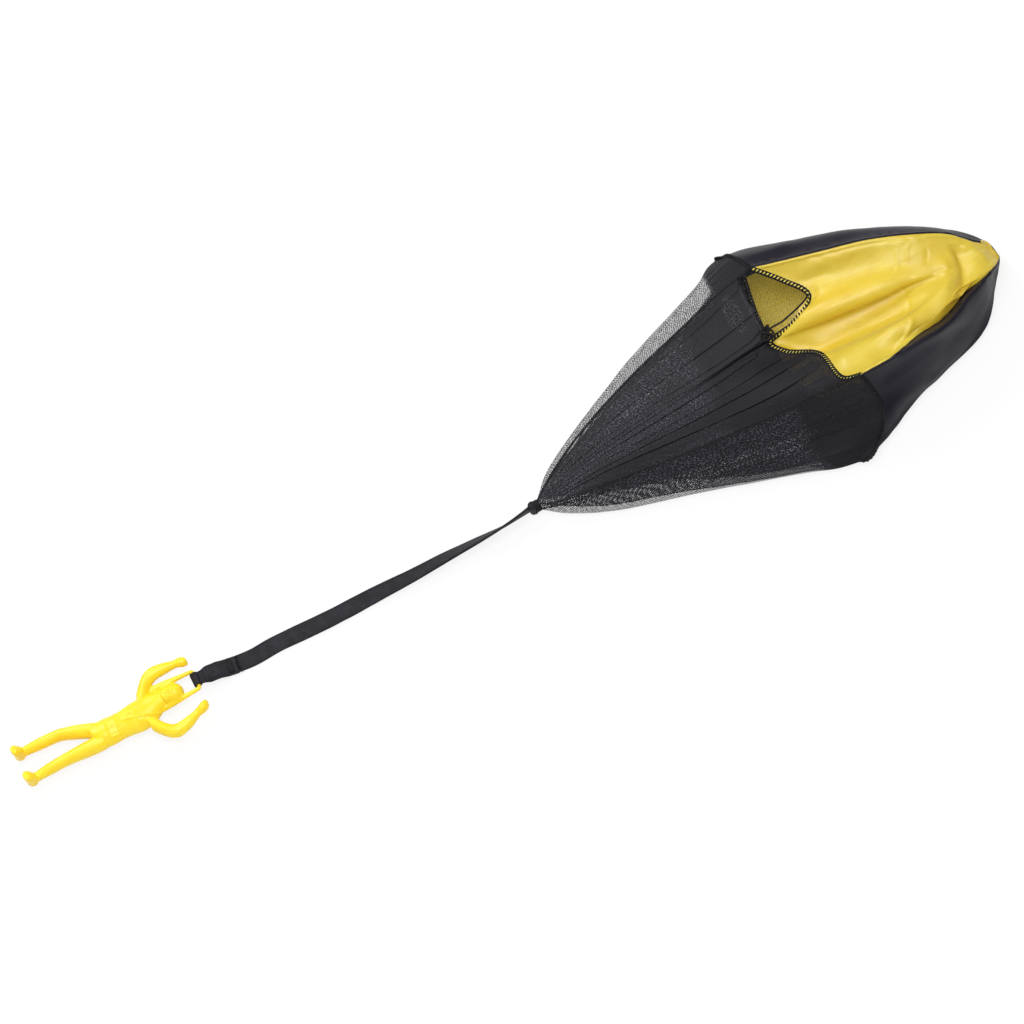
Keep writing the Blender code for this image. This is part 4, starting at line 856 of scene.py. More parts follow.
def canopy_places(shares: Sequence[Sequence[float]]) -> np.ndarray:
    """Turns (along, across, up) shares into places on the canopy."""
    sizes = np.array((SHOULDER_LENGTH, MOUTH_HALF_WIDTH, SAG_HEIGHT))
    return np.array(shares) * sizes + np.array((GATHER_X, 0.0, 0.0))


def new_object(name: str, mesh: bpy.types.Mesh) -> bpy.types.Object:
    """Links a new object to the scene.

    Args:
        name: the object's name.
        mesh: its mesh.

    Returns:
        The object.
    """
    piece = bpy.data.objects.new(name, mesh)
    bpy.context.scene.collection.objects.link(piece)
    return piece


def grid_mesh(name: str, grid: np.ndarray, cloth: np.ndarray, flip: bool = False) -> bpy.types.Mesh:
    """Makes a smooth sheet of quads.

    Args:
        name: the mesh's name.
        grid: places of shape (rows, columns, 3).
        cloth: the sheet's flat places in metres, of shape (rows, columns, 2).
        flip: whether the faces point the other way.

    Returns:
        The mesh, with its flat places in a UV map named cloth.
    """
    rows, columns = grid.shape[:2]
    index = np.arange(rows * columns).reshape(rows, columns)
    quads = np.stack([index[:-1, :-1], index[:-1, 1:], index[1:, 1:], index[1:, :-1]], axis=-1).reshape(-1, 4)
    if flip:
        quads = quads[:, ::-1]
    mesh = bpy.data.meshes.new(name)
    mesh.from_pydata(grid.reshape(-1, 3).tolist(), [], quads.tolist())
    layer = mesh.uv_layers.new(name="cloth")
    layer.data.foreach_set("uv", cloth.reshape(-1, 2)[quads.reshape(-1)].astype(np.float32).reshape(-1))
    mesh.shade_smooth()
    return mesh


def flat_places(grid: np.ndarray) -> np.ndarray:
    """Measures a sheet into flat places: across each row from its middle, and along its columns.

    Args:
        grid: the sheet's places, (rows, columns, 3).

    Returns:
        The flat places in metres, (rows, columns, 2).
    """
    across = np.concatenate([np.zeros_like(grid[:, :1, 0]),
                             np.cumsum(np.linalg.norm(np.diff(grid, axis=1), axis=2), axis=1)], axis=1)
    across -= across[:, grid.shape[1] // 2][:, None]
    steps = np.linalg.norm(np.diff(grid, axis=0), axis=2).mean(axis=1)
    down = np.concatenate([[0.0], np.cumsum(steps)])
    return np.stack([across, np.broadcast_to(down[:, None], across.shape)], axis=-1)


def sweep_mesh(name: str, line: np.ndarray, across: np.ndarray, up: np.ndarray,
               profile: np.ndarray, closed: bool = False) -> bpy.types.Mesh:
    """Sweeps an outline along a line.

    Args:
        name: the mesh's name.
        line: the places that the outline passes, (count, 3).
        across: for each place, the direction of the outline's first axis.
        up: for each place, the direction of its second axis.
        profile: the outline's points, (points, 2), or one outline for each place.
        closed: whether the line runs back into its start, and so has no end caps.

    Returns:
        A closed mesh with the outline's run and the line's length in a UV map named cloth.
    """
    count = len(line)
    outline = np.broadcast_to(profile, (count, *profile.shape[-2:]))
    ring = line[:, None] + across[:, None] * outline[..., :1] + up[:, None] * outline[..., 1:]
    points = ring.shape[1]
    index = np.arange(count * points).reshape(count, points)
    ahead = np.roll(index, -1, axis=0) if closed else index[1:]
    start = index if closed else index[:-1]
    quads = np.stack([start, np.roll(start, -1, axis=1), np.roll(ahead, -1, axis=1), ahead], axis=-1)
    faces = quads.reshape(-1, 4).tolist()
    if not closed:
        faces += [index[0][::-1].tolist(), index[-1].tolist()]
    mesh = bpy.data.meshes.new(name)
    mesh.from_pydata(ring.reshape(-1, 3).tolist(), [], faces)
    turn = np.concatenate([np.zeros((count, 1)),
                           np.cumsum(np.linalg.norm(np.diff(outline, axis=1), axis=2), axis=1)], axis=1)
    run = np.broadcast_to(reaches(line)[:, None], turn.shape)
    cloth = np.stack([turn, run], axis=-1).reshape(-1, 2)
    corners = np.zeros(len(mesh.loops), np.int32)
    mesh.loops.foreach_get("vertex_index", corners)
    layer = mesh.uv_layers.new(name="cloth")
    layer.data.foreach_set("uv", cloth[corners].astype(np.float32).reshape(-1))
    builder = bmesh.new()
    builder.from_mesh(mesh)
    bmesh.ops.recalc_face_normals(builder, faces=builder.faces)
    builder.to_mesh(mesh)
    builder.free()
    mesh.shade_smooth()
    return mesh


def frames_on(line: np.ndarray, up: np.ndarray) -> tuple[np.ndarray, np.ndarray, np.ndarray]:
    """Works out the directions at each place of a line.

    Args:
        line: the places, (count, 3).
        up: a rough up direction for each place, or one for all.

    Returns:
        The tangent, the across direction and the exact up direction, each (count, 3).
    """
    tangent = unit(np.gradient(line, axis=0))
    across = unit(np.cross(np.broadcast_to(up, line.shape), tangent))
    return tangent, across, unit(np.cross(tangent, across))


def thread_mesh(name: str, line: np.ndarray, up: np.ndarray, radius: float, closed: bool = False,
                sides: int = 8) -> bpy.types.Mesh:
    """Makes a round thread along a line.

    Args:
        name: the mesh's name.
        line: the line's places, (count, 3).
        up: a rough direction across the thread, or one for each place.
        radius: the thread's radius.
        closed: whether the line runs back into its start.
        sides: how many faces go round the thread.

    Returns:
        The thread's closed mesh.
    """
    _, across, exact_up = frames_on(line, up)
    return sweep_mesh(name, line, across, exact_up, circle(sides) * radius, closed)


def joined(name: str, meshes: Sequence[bpy.types.Mesh]) -> bpy.types.Mesh:
    """Joins meshes into one.

    Args:
        name: the joined mesh's name.
        meshes: the meshes, which are removed.

    Returns:
        The joined mesh, with smooth faces.
    """
    builder = bmesh.new()
    for mesh in meshes:
        builder.from_mesh(mesh)
        bpy.data.meshes.remove(mesh)
    whole = bpy.data.meshes.new(name)
    builder.to_mesh(whole)
    builder.free()
    whole.shade_smooth()
    return whole


def baked(carrier: bpy.types.Object, name: str) -> bpy.types.Object:
    """Turns an object with live modifiers into a plain one.

    Args:
        carrier: the object, which is removed.
        name: the plain piece's name.

    Returns:
        The plain piece.
    """
    bpy.context.view_layer.update()
    evaluated = carrier.evaluated_get(bpy.context.evaluated_depsgraph_get())
    mesh = bpy.data.meshes.new_from_object(evaluated)
    bpy.data.objects.remove(carrier, do_unlink=True)
    mesh.name = name
    return new_object(name, mesh)


def thickened(name: str, mesh: bpy.types.Mesh, thickness: float) -> bpy.types.Object:
    """Gives a sheet its thickness, half to each side.

    Args:
        name: the piece's name.
        mesh: the sheet.
        thickness: its thickness.

    Returns:
        The plain piece.
    """
    carrier = new_object(f"{name}_sheet", mesh)
    wall = carrier.modifiers.new("thickness", "SOLIDIFY")
    wall.thickness = thickness
    wall.offset = 0.0
    return baked(carrier, name)


def settle(piece: bpy.types.Object, finish: Finish, berth: Berth) -> bpy.types.Object:
    """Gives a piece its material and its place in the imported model.

    Args:
        piece: the finished piece.
        finish: its surface.
        berth: its body and the nodes it stands for.

    Returns:
        The piece.
    """
    piece.data.materials.clear()
    piece.data.materials.append(finish.material())
    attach(piece, berth.body.value)
    if berth.nodes:
        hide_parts(*berth.nodes)
    LOG.info("%s: %d faces on %s", piece.name, len(piece.data.polygons), berth.body.value)
    return piece


# Folds and dents of each gore
GORE_FOLDS = {
    Side.TOP: (
        Fold((140, 30.0), (182, 25.0), -0.9, 4.6, 1.2),
        Fold((148, 38.0), (200, 26.5), 0.8, 3.0, 1.6),
        Fold((144, 26.5), (204, 19.5), 2.6, 7.0, 0.6),
        Fold((126, 18.0), (186, 14.0), 3.0, 4.6),
        Fold((122, 8.4), (186, 4.6), -5.2, 5.8),
        Fold((138, -5.5), (196, -5.0), 1.6, 4.0, 0.6),
        Fold((188.5, 27.5), (184.5, 17.0), 0.22, 0.8, 0.9, 0.5),
        Fold((194.5, 26.5), (190.5, 17.5), 0.26, 0.9, -0.8),
        Fold((200.5, 22.0), (197, 14.5), -0.24, 0.9, 0.8, -0.4),
        Fold((184, 12), (178, -1), -0.36, 0.9, 1.4, 0.4),
        Fold((211.5, 16), (201, -4), -3.0, 3.6, 3.2, 0.75),
        Fold((205, 14), (193, -5), 1.3, 3.0, 2.6, -0.3),
        Fold((181, -4.6), (169, -9.6), 1.1, 0.9, 0.7),
        Fold((189, 12), (203, 7.0), 0.5, 1.2, 0.8),
        Fold((214.5, 15.0), (221.5, 5.5), 0.7, 1.4, 0.8),
        Fold((160, -10.5), (204, -1.5), -2.8, 2.8, -1.2),
        Fold((166, -5.0), (206, 3.0), 1.6, 3.0, -1.2),
        Fold((143, 33), (160, 31.5), -0.5, 2.0),
    ),
    Side.FAR: (
        Fold((130, 50), (190, 36), -0.6, 3.0, 1.0),
        Fold((125, 55), (150, 50.5), 0.4, 1.6, -1.0),
    ),
    Side.BOTTOM: (
        Fold((130, 30), (190, 20), -0.4, 4.0),
    ),
    Side.NEAR: (
        Fold((153, -20.5), (200, -16), -0.7, 2.8, 1.0),
        Fold((150, -33), (196, -22), 0.6, 3.0, -1.0),
        Fold((156, -38), (176, -31), -0.5, 2.2, 0.5),
        Fold((133, -46), (150, -41), 0.4, 1.6),
    ),
}

# How strongly each net is pleated, where 3 lays about half of it in three layers
PLEAT_STRENGTH = {Side.TOP: 5.0, Side.FAR: 1.0, Side.BOTTOM: 5.0, Side.NEAR: 4.0}
# The nets lie flat in two strips by the near edge: how wide they are at these places, in metres
STRIP_REACHES = (0.0, 0.013, 0.030, 0.047, 0.075, 0.100)
OUTER_STRIP_ENDS = (0.0030, 0.0036, 0.0027, 0.0026, 0.0010, 0.0005)
SECOND_STRIP_ENDS = (0.0035, 0.0078, 0.0092, 0.0086, 0.0050, 0.0030)
# How far the net's holes are closed up by its bunching: in the strips, as a rule and by the hems
OUTER_STRIP_DENSITY = 0.12
SECOND_STRIP_DENSITY = 0.46
NET_DENSITY = 0.68
HEM_DENSITY = 0.98
WINDOW_DENSITY = 0.0
# A flat strip runs along the far edge too, beyond this line: along, and across the sight line, in mm
FAR_STRIP_REACHES = (0.0, 51.3, 85.5, 110.0)
FAR_STRIP_STARTS = (3.0, 24.6, 36.0, 41.7)
# Where the nets' bunching closes up by their hems, along from the gather: as a rule, the near net's
# edge, past the far strip, and the far net's
HEM_RISE = (82.0, 104.0)
NEAR_HEM_RISE = (112.0, 128.0)
FAR_STRIP_HEM_RISE = (106.0, 112.0)
FAR_HEM_RISE = (110.0, 112.5)
# A closer fold runs down the nets' middle: its middle and half width across the sight line, its rise in
# density, and where it fades in along the net
DARK_FOLD_ACROSS = (-3.0, 5.5)
DARK_FOLD_DENSITY = 0.17
DARK_FOLD_RISE = (10.0, 40.0)
# The net is open in this window by the far half of the top hem
WINDOW_ALONG_RISE = (120.5, 123.0)
WINDOW_ACROSS_RISE = (15.0, 18.0)
# Two thin places by the hems, through which the lower gore glows: middle, half sizes and density
THIN_NET_PLACES = (
    ((114.5, 34.0), (3.4, 8.5), 0.42),
    ((129.5, -10.5), (5.5, 3.6), 0.80),
)
# Where the black gore's lip stands over the top gore, its seam lies deeper: along from the gather
LIP_START = 162 * MM
LIP_PEAK = (184 * MM, 200 * MM)
LIP_END = 224 * MM
LIP_DEPTH = 8.0 * MM
LIP_SHIFT = 7.0 * MM
# The doubled hem lies on this stretch of the top hem, across the sight line
TUCK_SPAN = (16.4 * MM, 27.0 * MM)
# The snarl of thread where the doubled hem ends: along, and across the sight line
SNARL_PLACE = (123.3 * MM, 20.0 * MM)
# Under the far half of the top hem the net hangs single, up to here: along, and across the sight line
SINGLE_NET_ALONG = 118 * MM
SINGLE_NET_ACROSS = 14 * MM


def fold_heights(seen: np.ndarray, folds: Sequence[Fold]) -> np.ndarray:
    """Adds up how far folds raise the cloth at places that the camera sees.

    Args:
        seen: (along, across) places in metres, on the last axis.
        folds: the folds.

    Returns:
        The rise at each place, in metres.
    """
    total = np.zeros(seen.shape[:-1])
    for fold in folds:
        start = np.array(fold.start) * MM
        line = np.array(fold.end) * MM - start
        length = float(np.linalg.norm(line))
        ahead = line / length
        offset = seen - start
        run = offset @ ahead / length
        aside = ahead[0] * offset[..., 1] - ahead[1] * offset[..., 0]
        aside = (aside - fold.bow * MM * 4 * run * (1 - run)) / (fold.width * MM)
        aside = aside / np.where(aside > 0, 1 + 0.6 * fold.lean, 1 - 0.6 * fold.lean)
        fade = ease(run, -0.12, 0.18) * ease(run, 1.12, 0.8)
        total += fold.height * MM * fade * np.exp(-aside * aside)
    return total


def lip(along_x: np.ndarray) -> np.ndarray:
    """Returns how far the near top seam sinks behind the lip at each X, as a share."""
    reach = along_x - GATHER_X
    return ease(reach, LIP_START, LIP_PEAK[0]) * ease(reach, LIP_END, LIP_PEAK[1])


def wrinkles(grid: np.ndarray, length: float, width: float, seed: float) -> np.ndarray:
    """Makes long faint wrinkles that run towards the crown.

    Args:
        grid: the sheet's places, (rows, columns, 3).
        length: a wrinkle's length in metres.
        width: a wrinkle's width in metres.
        seed: which of many patterns.

    Returns:
        A value from about -1 to 1 for each place.
    """
    seen = sight(grid)
    values = [noise.noise(Vector((x / length, y / width, seed))) for x, y in seen.reshape(-1, 2)]
    return np.array(values).reshape(grid.shape[:2])


@dataclass(frozen=True)
class Panel:
    """A cloth panel: its places, its outward directions and how closely its threads lie."""

    grid: np.ndarray
    outward: np.ndarray
    density: np.ndarray | None = None

    @property
    def cloth(self) -> np.ndarray:
        """The flat places in metres."""
        return flat_places(self.grid)

    def cut(self) -> tuple[float, float, float]:
        """Measures the cloth that the panel was cut from.

        Returns:
            Its width, its length and its area.
        """
        flat = self.cloth
        width = float((flat[:, -1, 0] - flat[:, 0, 0]).max())
        length = float(flat[-1, 0, 1])
        diagonals = self.grid[1:, 1:] - self.grid[:-1, :-1], self.grid[1:, :-1] - self.grid[:-1, 1:]
        area = float(np.linalg.norm(np.cross(*diagonals), axis=2).sum() / 2)
        return width, length, area


@dataclass(frozen=True)
class Canopy:
    """The cloth bag: four satin gores and four nets that share the seams' rails."""

    cloth_thickness: float = 0.3 * MM
    floor_gap: float = 0.2 * MM
    gore_rows: int = 190
    net_rows: int = 160
    rail_steps: int = 10
    across_steps: int = 10
    columns: dict[Side, int] = field(default_factory=lambda: {
        Side.TOP: 200, Side.FAR: 100, Side.BOTTOM: 90, Side.NEAR: 120,
    })
    net_columns: int = 280
    pleats: int = 11
    pleat_height: float = 0.45 * MM
    wrinkle_height: float = 0.18 * MM
    pucker_height: float = 0.14 * MM
    pucker_spacing: float = 6.5 * MM
    pucker_reach: float = 5 * MM
    roll_height: float = 0.45 * MM
    roll_place: float = 1.2 * MM
    roll_width: float = 0.9 * MM
    flap_start: float = 0.90
    flap_columns: int = 5
    flap_reach: float = 3.4 * MM
    flap_droop: float = 0.15
    flap_lift: float = 0.5 * MM
    flap_gap: float = 0.3 * MM
    flap_swell: float = 0.35 * MM
    crown_rows: int = 9
    tuck_width: float = 5.0 * MM
    tuck_taper: float = 0.65
    tuck_lift: float = 0.9 * MM
    tuck_line_lift: float = 0.3 * MM
    tuck_thread_radius: float = 0.38 * MM
    snarl_lift: float = 1.2 * MM
    snarl_size: tuple[float, float, float] = (2.9 * MM, 3.4 * MM, 0.7 * MM)

    def rail(self, name: str, on_net: bool, dipped: bool = True) -> np.ndarray:
        """Draws one rail from the hem to the crown, or to the gather on the net.

        Args:
            name: the rail.
            on_net: whether it runs on the net, not the gore.
            dipped: whether the near top seam sinks behind the black gore's lip.

        Returns:
            The rail's places.
        """
        gore = GORE_RAIL_SHARES[name]
        shares = (gore[0], *NET_RAIL_SHARES[name]) if on_net else (*gore, CROWN_SHARES)
        line = smooth(canopy_places(shares), self.rail_steps)
        if name == "near_top_seam" and dipped and not on_net:
            dip = lip(line[:, 0])
            line[:, 1] += LIP_SHIFT * dip
            line[:, 2] -= LIP_DEPTH * dip
        line[:, 2] = np.maximum(line[:, 2], self.floor_gap)
        return line

    def surface(self, side: Side, on_net: bool) -> np.ndarray:
        """Lays rows of places across a side's rails.

        Args:
            side: which side of the canopy.
            on_net: whether it is the net, not the gore.

        Returns:
            Places of shape (rows, columns, 3), from the hem on.
        """
        rows = self.net_rows if on_net else self.gore_rows
        count = self.net_columns if on_net else self.columns[side]
        shares = np.linspace(0, 1, rows + 1)
        lines = [self.rail(name, on_net) for name in SIDES[side]]
        if side is Side.NEAR and not on_net:
            lines.insert(-1, self.rail("near_top_seam", False, dipped=False))
        curves = smooth(np.stack([along(line, shares) for line in lines]), self.across_steps)
        even = np.linspace(0, 1, count + 1)
        return np.stack([along(curves[:, row], even) for row in range(rows + 1)])

    @staticmethod
    def outward(grid: np.ndarray, on_net: bool) -> np.ndarray:
        """Works out the direction away from the canopy's inside.

        Args:
            grid: the sheet's places, (rows, columns, 3).
            on_net: whether it is a net, whose rows run the other way.

        Returns:
            The direction at each place.
        """
        down = np.gradient(grid, axis=0)
        across = np.gradient(grid, axis=1)
        normal = unit(np.cross(across, down) if on_net else np.cross(down, across))
        if not on_net:
            normal[-1] = normal[-2]
        return normal

    def gore(self, side: Side) -> Panel:
        """Shapes a gore: its rails' surface with folds, wrinkles and seam puckers.

        Args:
            side: which side of the canopy.

        Returns:
            The panel.
        """
        grid = self.surface(side, False)
        outward = self.outward(grid, False)
        rows, columns = grid.shape[:2]
        down = np.linspace(0, 1, rows)[:, None]
        share = np.linspace(0, 1, columns)[None]
        inside = ease(share, 0.0, 0.06) * ease(share, 1.0, 0.94)
        inside = inside * ease(down, 0.0, 0.07) * ease(down, 1.0, 0.93)
        rise = fold_heights(sight(grid), GORE_FOLDS[side]) * inside
        rise += self.wrinkle_height * wrinkles(grid, 26 * MM, 6 * MM, 3.1) * inside
        rise += 0.5 * self.wrinkle_height * wrinkles(grid, 8 * MM, 3 * MM, 7.7) * inside
        cloth = flat_places(grid)
        for edge in (0, -1):
            away = np.abs(cloth[..., 0] - cloth[:, edge, 0][:, None])
            run = cloth[..., 1]
            wave = np.sin(run / self.pucker_spacing * 2 * math.pi + 3.0 * np.sin(run * 90))
            wave = wave * (0.5 + 0.5 * np.sin(run * 210 + 4 * edge))
            near = np.exp(-((away - self.pucker_reach / 2) / (self.pucker_reach / 2)) ** 2)
            rise += self.pucker_height * wave * near * ease(down, 0.0, 0.05) * ease(down, 1.0, 0.85)
            roll = np.exp(-((away - self.roll_place) / self.roll_width) ** 2)
            if side is Side.TOP and edge == 0:
                roll = roll * (1 - lip(grid[..., 0]))
            rise += self.roll_height * roll * ease(down, 0.0, 0.05) * ease(down, 1.0, 0.9)
        grid = grid + outward * rise[..., None]
        grid[..., 2] = np.maximum(grid[..., 2], self.floor_gap)
        return Panel(grid, self.outward(grid, False))

    def net(self, side: Side) -> Panel:
        """Shapes a net: its rails' surface drawn into pleats towards the gather.

        Args:
            side: which side of the canopy.

        Returns:
            The panel.
        """
        grid = self.surface(side, True)
        outward = self.outward(grid, True)
        rows, columns = grid.shape[:2]
        down = np.linspace(0, 1, rows)[:, None]
        share = np.linspace(0, 1, columns)[None]
        seed = list(Side).index(side)
        # The pleats are unevenly spaced and unevenly deep, in each net in its own way
        warp = share + 0.035 * np.sin(2 * math.pi * 1.7 * share + seed) \
            + 0.02 * np.sin(2 * math.pi * 3.3 * share + 2.3 * seed) + 0.02 * np.sin(5 * down + seed)
        turn = 2 * math.pi * self.pleats * warp
        uneven = 0.9 + 0.2 * np.sin(2 * math.pi * 2.6 * share + 1.9 * seed)
        edges = ease(share, 0.0, 0.08) * ease(share, 1.0, 0.92)
        drawn = ease(down, 0.0, 0.04)
        if side is Side.TOP:
            seen = sight(grid)
            past = ease(seen[..., 0], SINGLE_NET_ALONG + 5 * MM, SINGLE_NET_ALONG)
            near_half = ease(seen[..., 1], SINGLE_NET_ACROSS, SINGLE_NET_ACROSS - 7 * MM)
            drawn = drawn * np.maximum(past, near_half)
        if side is not Side.FAR:
            drawn = drawn * self.past_strip(sight(grid), SECOND_STRIP_ENDS, 2 * MM)
        strength = PLEAT_STRENGTH[side] * uneven * edges * drawn
        shift = strength / (2 * math.pi * self.pleats) * np.sin(turn)
        place = np.clip((share + shift) * (columns - 1), 0, columns - 1)
        low = np.minimum(place.astype(int), columns - 2)
        part = (place - low)[..., None]
        row = np.arange(rows)[:, None]
        base = grid[row, low] * (1 - part) + grid[row, low + 1] * part
        facing = unit(outward[row, low] * (1 - part) + outward[row, low + 1] * part)
        height = self.pleat_height * ease(down, 0.0, 0.15) * (1 - 0.6 * down) * edges * ease(down, 1.0, 0.93)
        rise = -height * np.sin(turn) * np.minimum(strength / 2, 1.0)
        rise = rise + 0.25 * MM * wrinkles(grid, 40 * MM, 5 * MM, 11.0 + seed) * edges * ease(down, 1.0, 0.8)
        base = base + facing * rise[..., None]
        base[..., 2] = np.maximum(base[..., 2], self.floor_gap * 0.75)
        return Panel(base, self.outward(base, True), self.density(side, sight(base)))

    def density(self, side: Side, seen: np.ndarray) -> np.ndarray:
        """Works out how far the net's holes are closed up by its bunching.

        Args:
            side: which side of the canopy.
            seen: the net's places as the camera sees them.

        Returns:
            The share for each place, from 0 to 1.
        """
        reach, across = seen[..., 0] / MM, seen[..., 1] / MM
        if side is Side.FAR:
            return OUTER_STRIP_DENSITY + (HEM_DENSITY - OUTER_STRIP_DENSITY) * ease(reach, *FAR_HEM_RISE)
        second = self.past_strip(seen, OUTER_STRIP_ENDS, 0.5 * MM)
        value = OUTER_STRIP_DENSITY + (SECOND_STRIP_DENSITY - OUTER_STRIP_DENSITY) * second
        past = self.past_strip(seen, SECOND_STRIP_ENDS, 1.2 * MM)
        value = value + (NET_DENSITY - value) * past
        # A line of closer threads parts the two strips
        value = value + (HEM_DENSITY - value) * (4 * second * (1 - second)) ** 2
        middle, half_width = DARK_FOLD_ACROSS
        dark_fold = np.exp(-((across - middle) / half_width) ** 2) * ease(reach, *DARK_FOLD_RISE)
        value = value + DARK_FOLD_DENSITY * dark_fold * past
        beyond = across - np.interp(reach, FAR_STRIP_REACHES, FAR_STRIP_STARTS)
        value = value + (SECOND_STRIP_DENSITY - value) * ease(beyond, -0.3, 0.6)
        value = value + (HEM_DENSITY - value) * np.exp(-((beyond / 0.5) ** 2))
        by_hem = ease(reach, *(NEAR_HEM_RISE if side is Side.NEAR else HEM_RISE))
        by_hem = by_hem * np.where(beyond > 0, ease(reach, *FAR_STRIP_HEM_RISE), 1.0)
        value = value + (HEM_DENSITY - value) * by_hem
        for middle, half_sizes, thin in THIN_NET_PLACES:
            away = np.hypot((reach - middle[0]) / half_sizes[0], (across - middle[1]) / half_sizes[1])
            value = value + (thin - value) * ease(away, 1.25, 0.75)
        if side is Side.TOP:
            window = ease(reach, *WINDOW_ALONG_RISE) * ease(across, *WINDOW_ACROSS_RISE)
            value = value + (WINDOW_DENSITY - value) * window
        return value

    def past_strip(self, seen: np.ndarray, ends: Sequence[float], blur: float) -> np.ndarray:
        """Grows from 0 within a strip by the near edge to 1 beyond it.

        Args:
            seen: places as the camera sees them.
            ends: the strip's width at each of STRIP_REACHES.
            blur: how far beyond the strip the growth goes on.

        Returns:
            The share for each place.
        """
        near = sight(self.surface(Side.NEAR, True))
        lowest = near[..., 1].argmin(axis=1)
        edge = near[np.arange(len(near)), lowest]
        edge = edge[np.argsort(edge[:, 0])]
        away = seen[..., 1] - np.interp(seen[..., 0], edge[:, 0], edge[:, 1])
        strip = np.interp(seen[..., 0], STRIP_REACHES, ends)
        return ease(away - strip, -blur / 2, blur)

    def lay_yellow(self, name: str, grid: np.ndarray, flip: bool = False) -> None:
        """Makes a turned bit of the yellow cloth through those places."""
        sheet = thickened(name, grid_mesh(name, grid, flat_places(grid), flip), self.cloth_thickness)
        settle(sheet, YELLOW_SATIN, Berth(Body.CANOPY, Slot.YELLOW_SATIN))

    def tuck(self, gore: Panel, net: Panel) -> None:
        """Lays the far half's doubled hem beyond its edge: a golden strip, a seam line and a snarl.

        Args:
            gore: the top gore's panel.
            net: the top net's panel.
        """
        across_sight = sight(gore.grid[0])[:, 1]
        chosen = (across_sight > TUCK_SPAN[0]) & (across_sight < TUCK_SPAN[1])
        edge = smooth(gore.grid[0][chosen][::2], 2)
        outward = unit(gore.outward[0][chosen].mean(axis=0))
        beyond = unit(np.cross(outward, edge[-1] - edge[0]))
        width = self.tuck_width * (1 - np.linspace(0, 1, len(edge))[:, None]) ** self.tuck_taper
        border = edge + beyond * width + outward * self.tuck_lift
        self.lay_yellow("hem_tuck", np.stack([edge + (border - edge) * step for step in np.linspace(0, 1, 6)],
                                             axis=1))
        seen = sight(net.grid)
        nearest = np.hypot(seen[..., 0] - SNARL_PLACE[0], seen[..., 1] - SNARL_PLACE[1]).argmin()
        turn = np.linspace(0, 2 * math.pi, 361)
        wild = 0.75 + 0.25 * np.sin(2 * turn + 0.7)
        loops = np.stack([wild * np.sin(5 * turn + 0.3), wild * np.cos(4 * turn + 1.1), np.sin(7 * turn)],
                         axis=1)
        snarl = net.grid.reshape(-1, 3)[nearest] + outward * self.snarl_lift + loops * self.snarl_size
        for name, line, closed in (("hem_tuck_line", border + outward * self.tuck_line_lift, False),
                                   ("hem_snarl", snarl[:-1], True)):
            mesh = thread_mesh(name, line, outward, self.tuck_thread_radius, closed)
            settle(new_object(name, mesh), BLACK_THREAD, Berth(Body.CANOPY, Slot.THREAD))

    def flap(self, gore: Panel) -> None:
        """Lays the top gore's turned end over the far seam, just before the crown.

        Args:
            gore: the top gore's panel.
        """
        first = int(gore.grid.shape[0] * self.flap_start)
        edge = gore.grid[first:-1, -1]
        inner = gore.grid[first:-1, -1 - self.flap_columns]
        _, _, up = frames_on(edge, gore.outward[first:-1, -1])
        reach = self.flap_reach * ease(np.linspace(0, 1, len(edge))[:, None], 0.0, 0.25)
        turned = edge - unit(inner - edge) * reach + up * (self.flap_lift - self.flap_droop * reach)
        steps = np.linspace(0, 1, 9)
        swell = np.sin(steps * math.pi) * self.flap_swell
        grid = np.stack([inner + (turned - inner) * step + up * (self.flap_gap + rise)
                         for step, rise in zip(steps, swell)], axis=1)
        self.lay_yellow("crown_flap", grid, flip=True)

    def sew_gore(self, side: Side) -> Panel:
        """Args:
            side: which side of the canopy.

        Returns:
            The gore's panel.
        """
        panel = self.gore(side)
        name = f"{side.value}_gore"
        mesh = grid_mesh(name, panel.grid, panel.cloth, flip=True)
        builder = bmesh.new()
        builder.from_mesh(mesh)
        builder.verts.ensure_lookup_table()
        crown = builder.verts[-panel.grid.shape[1]:]
        bmesh.ops.remove_doubles(builder, verts=crown, dist=1e-6)
        builder.to_mesh(mesh)
        builder.free()
        piece = thickened(f"{name}_cloth", mesh, self.cloth_thickness)
        slot = Slot.YELLOW_SATIN if side.yellow else Slot.BLACK_SATIN
        settle(piece, YELLOW_SATIN if side.yellow else BLACK_SATIN, Berth(Body.CANOPY, slot, (name,)))
        width, length, area = panel.cut()
        return panel

    def sew_net(self, side: Side) -> Panel:
        """Args:
            side: which side of the canopy.

        Returns:
            The net's panel.
        """
        panel = self.net(side)
        name = f"{side.value}_net"
        mesh = grid_mesh(name, panel.grid, panel.cloth)
        closeness = mesh.attributes.new("closeness", "FLOAT", "POINT")
        closeness.data.foreach_set("value", panel.density.astype(np.float32).reshape(-1))
        piece = new_object(f"{name}_cloth", mesh)
        settle(piece, BLACK_NET, Berth(Body.CANOPY, Slot.BLACK_NET, (name,)))
        width, length, area = panel.cut()
        return panel

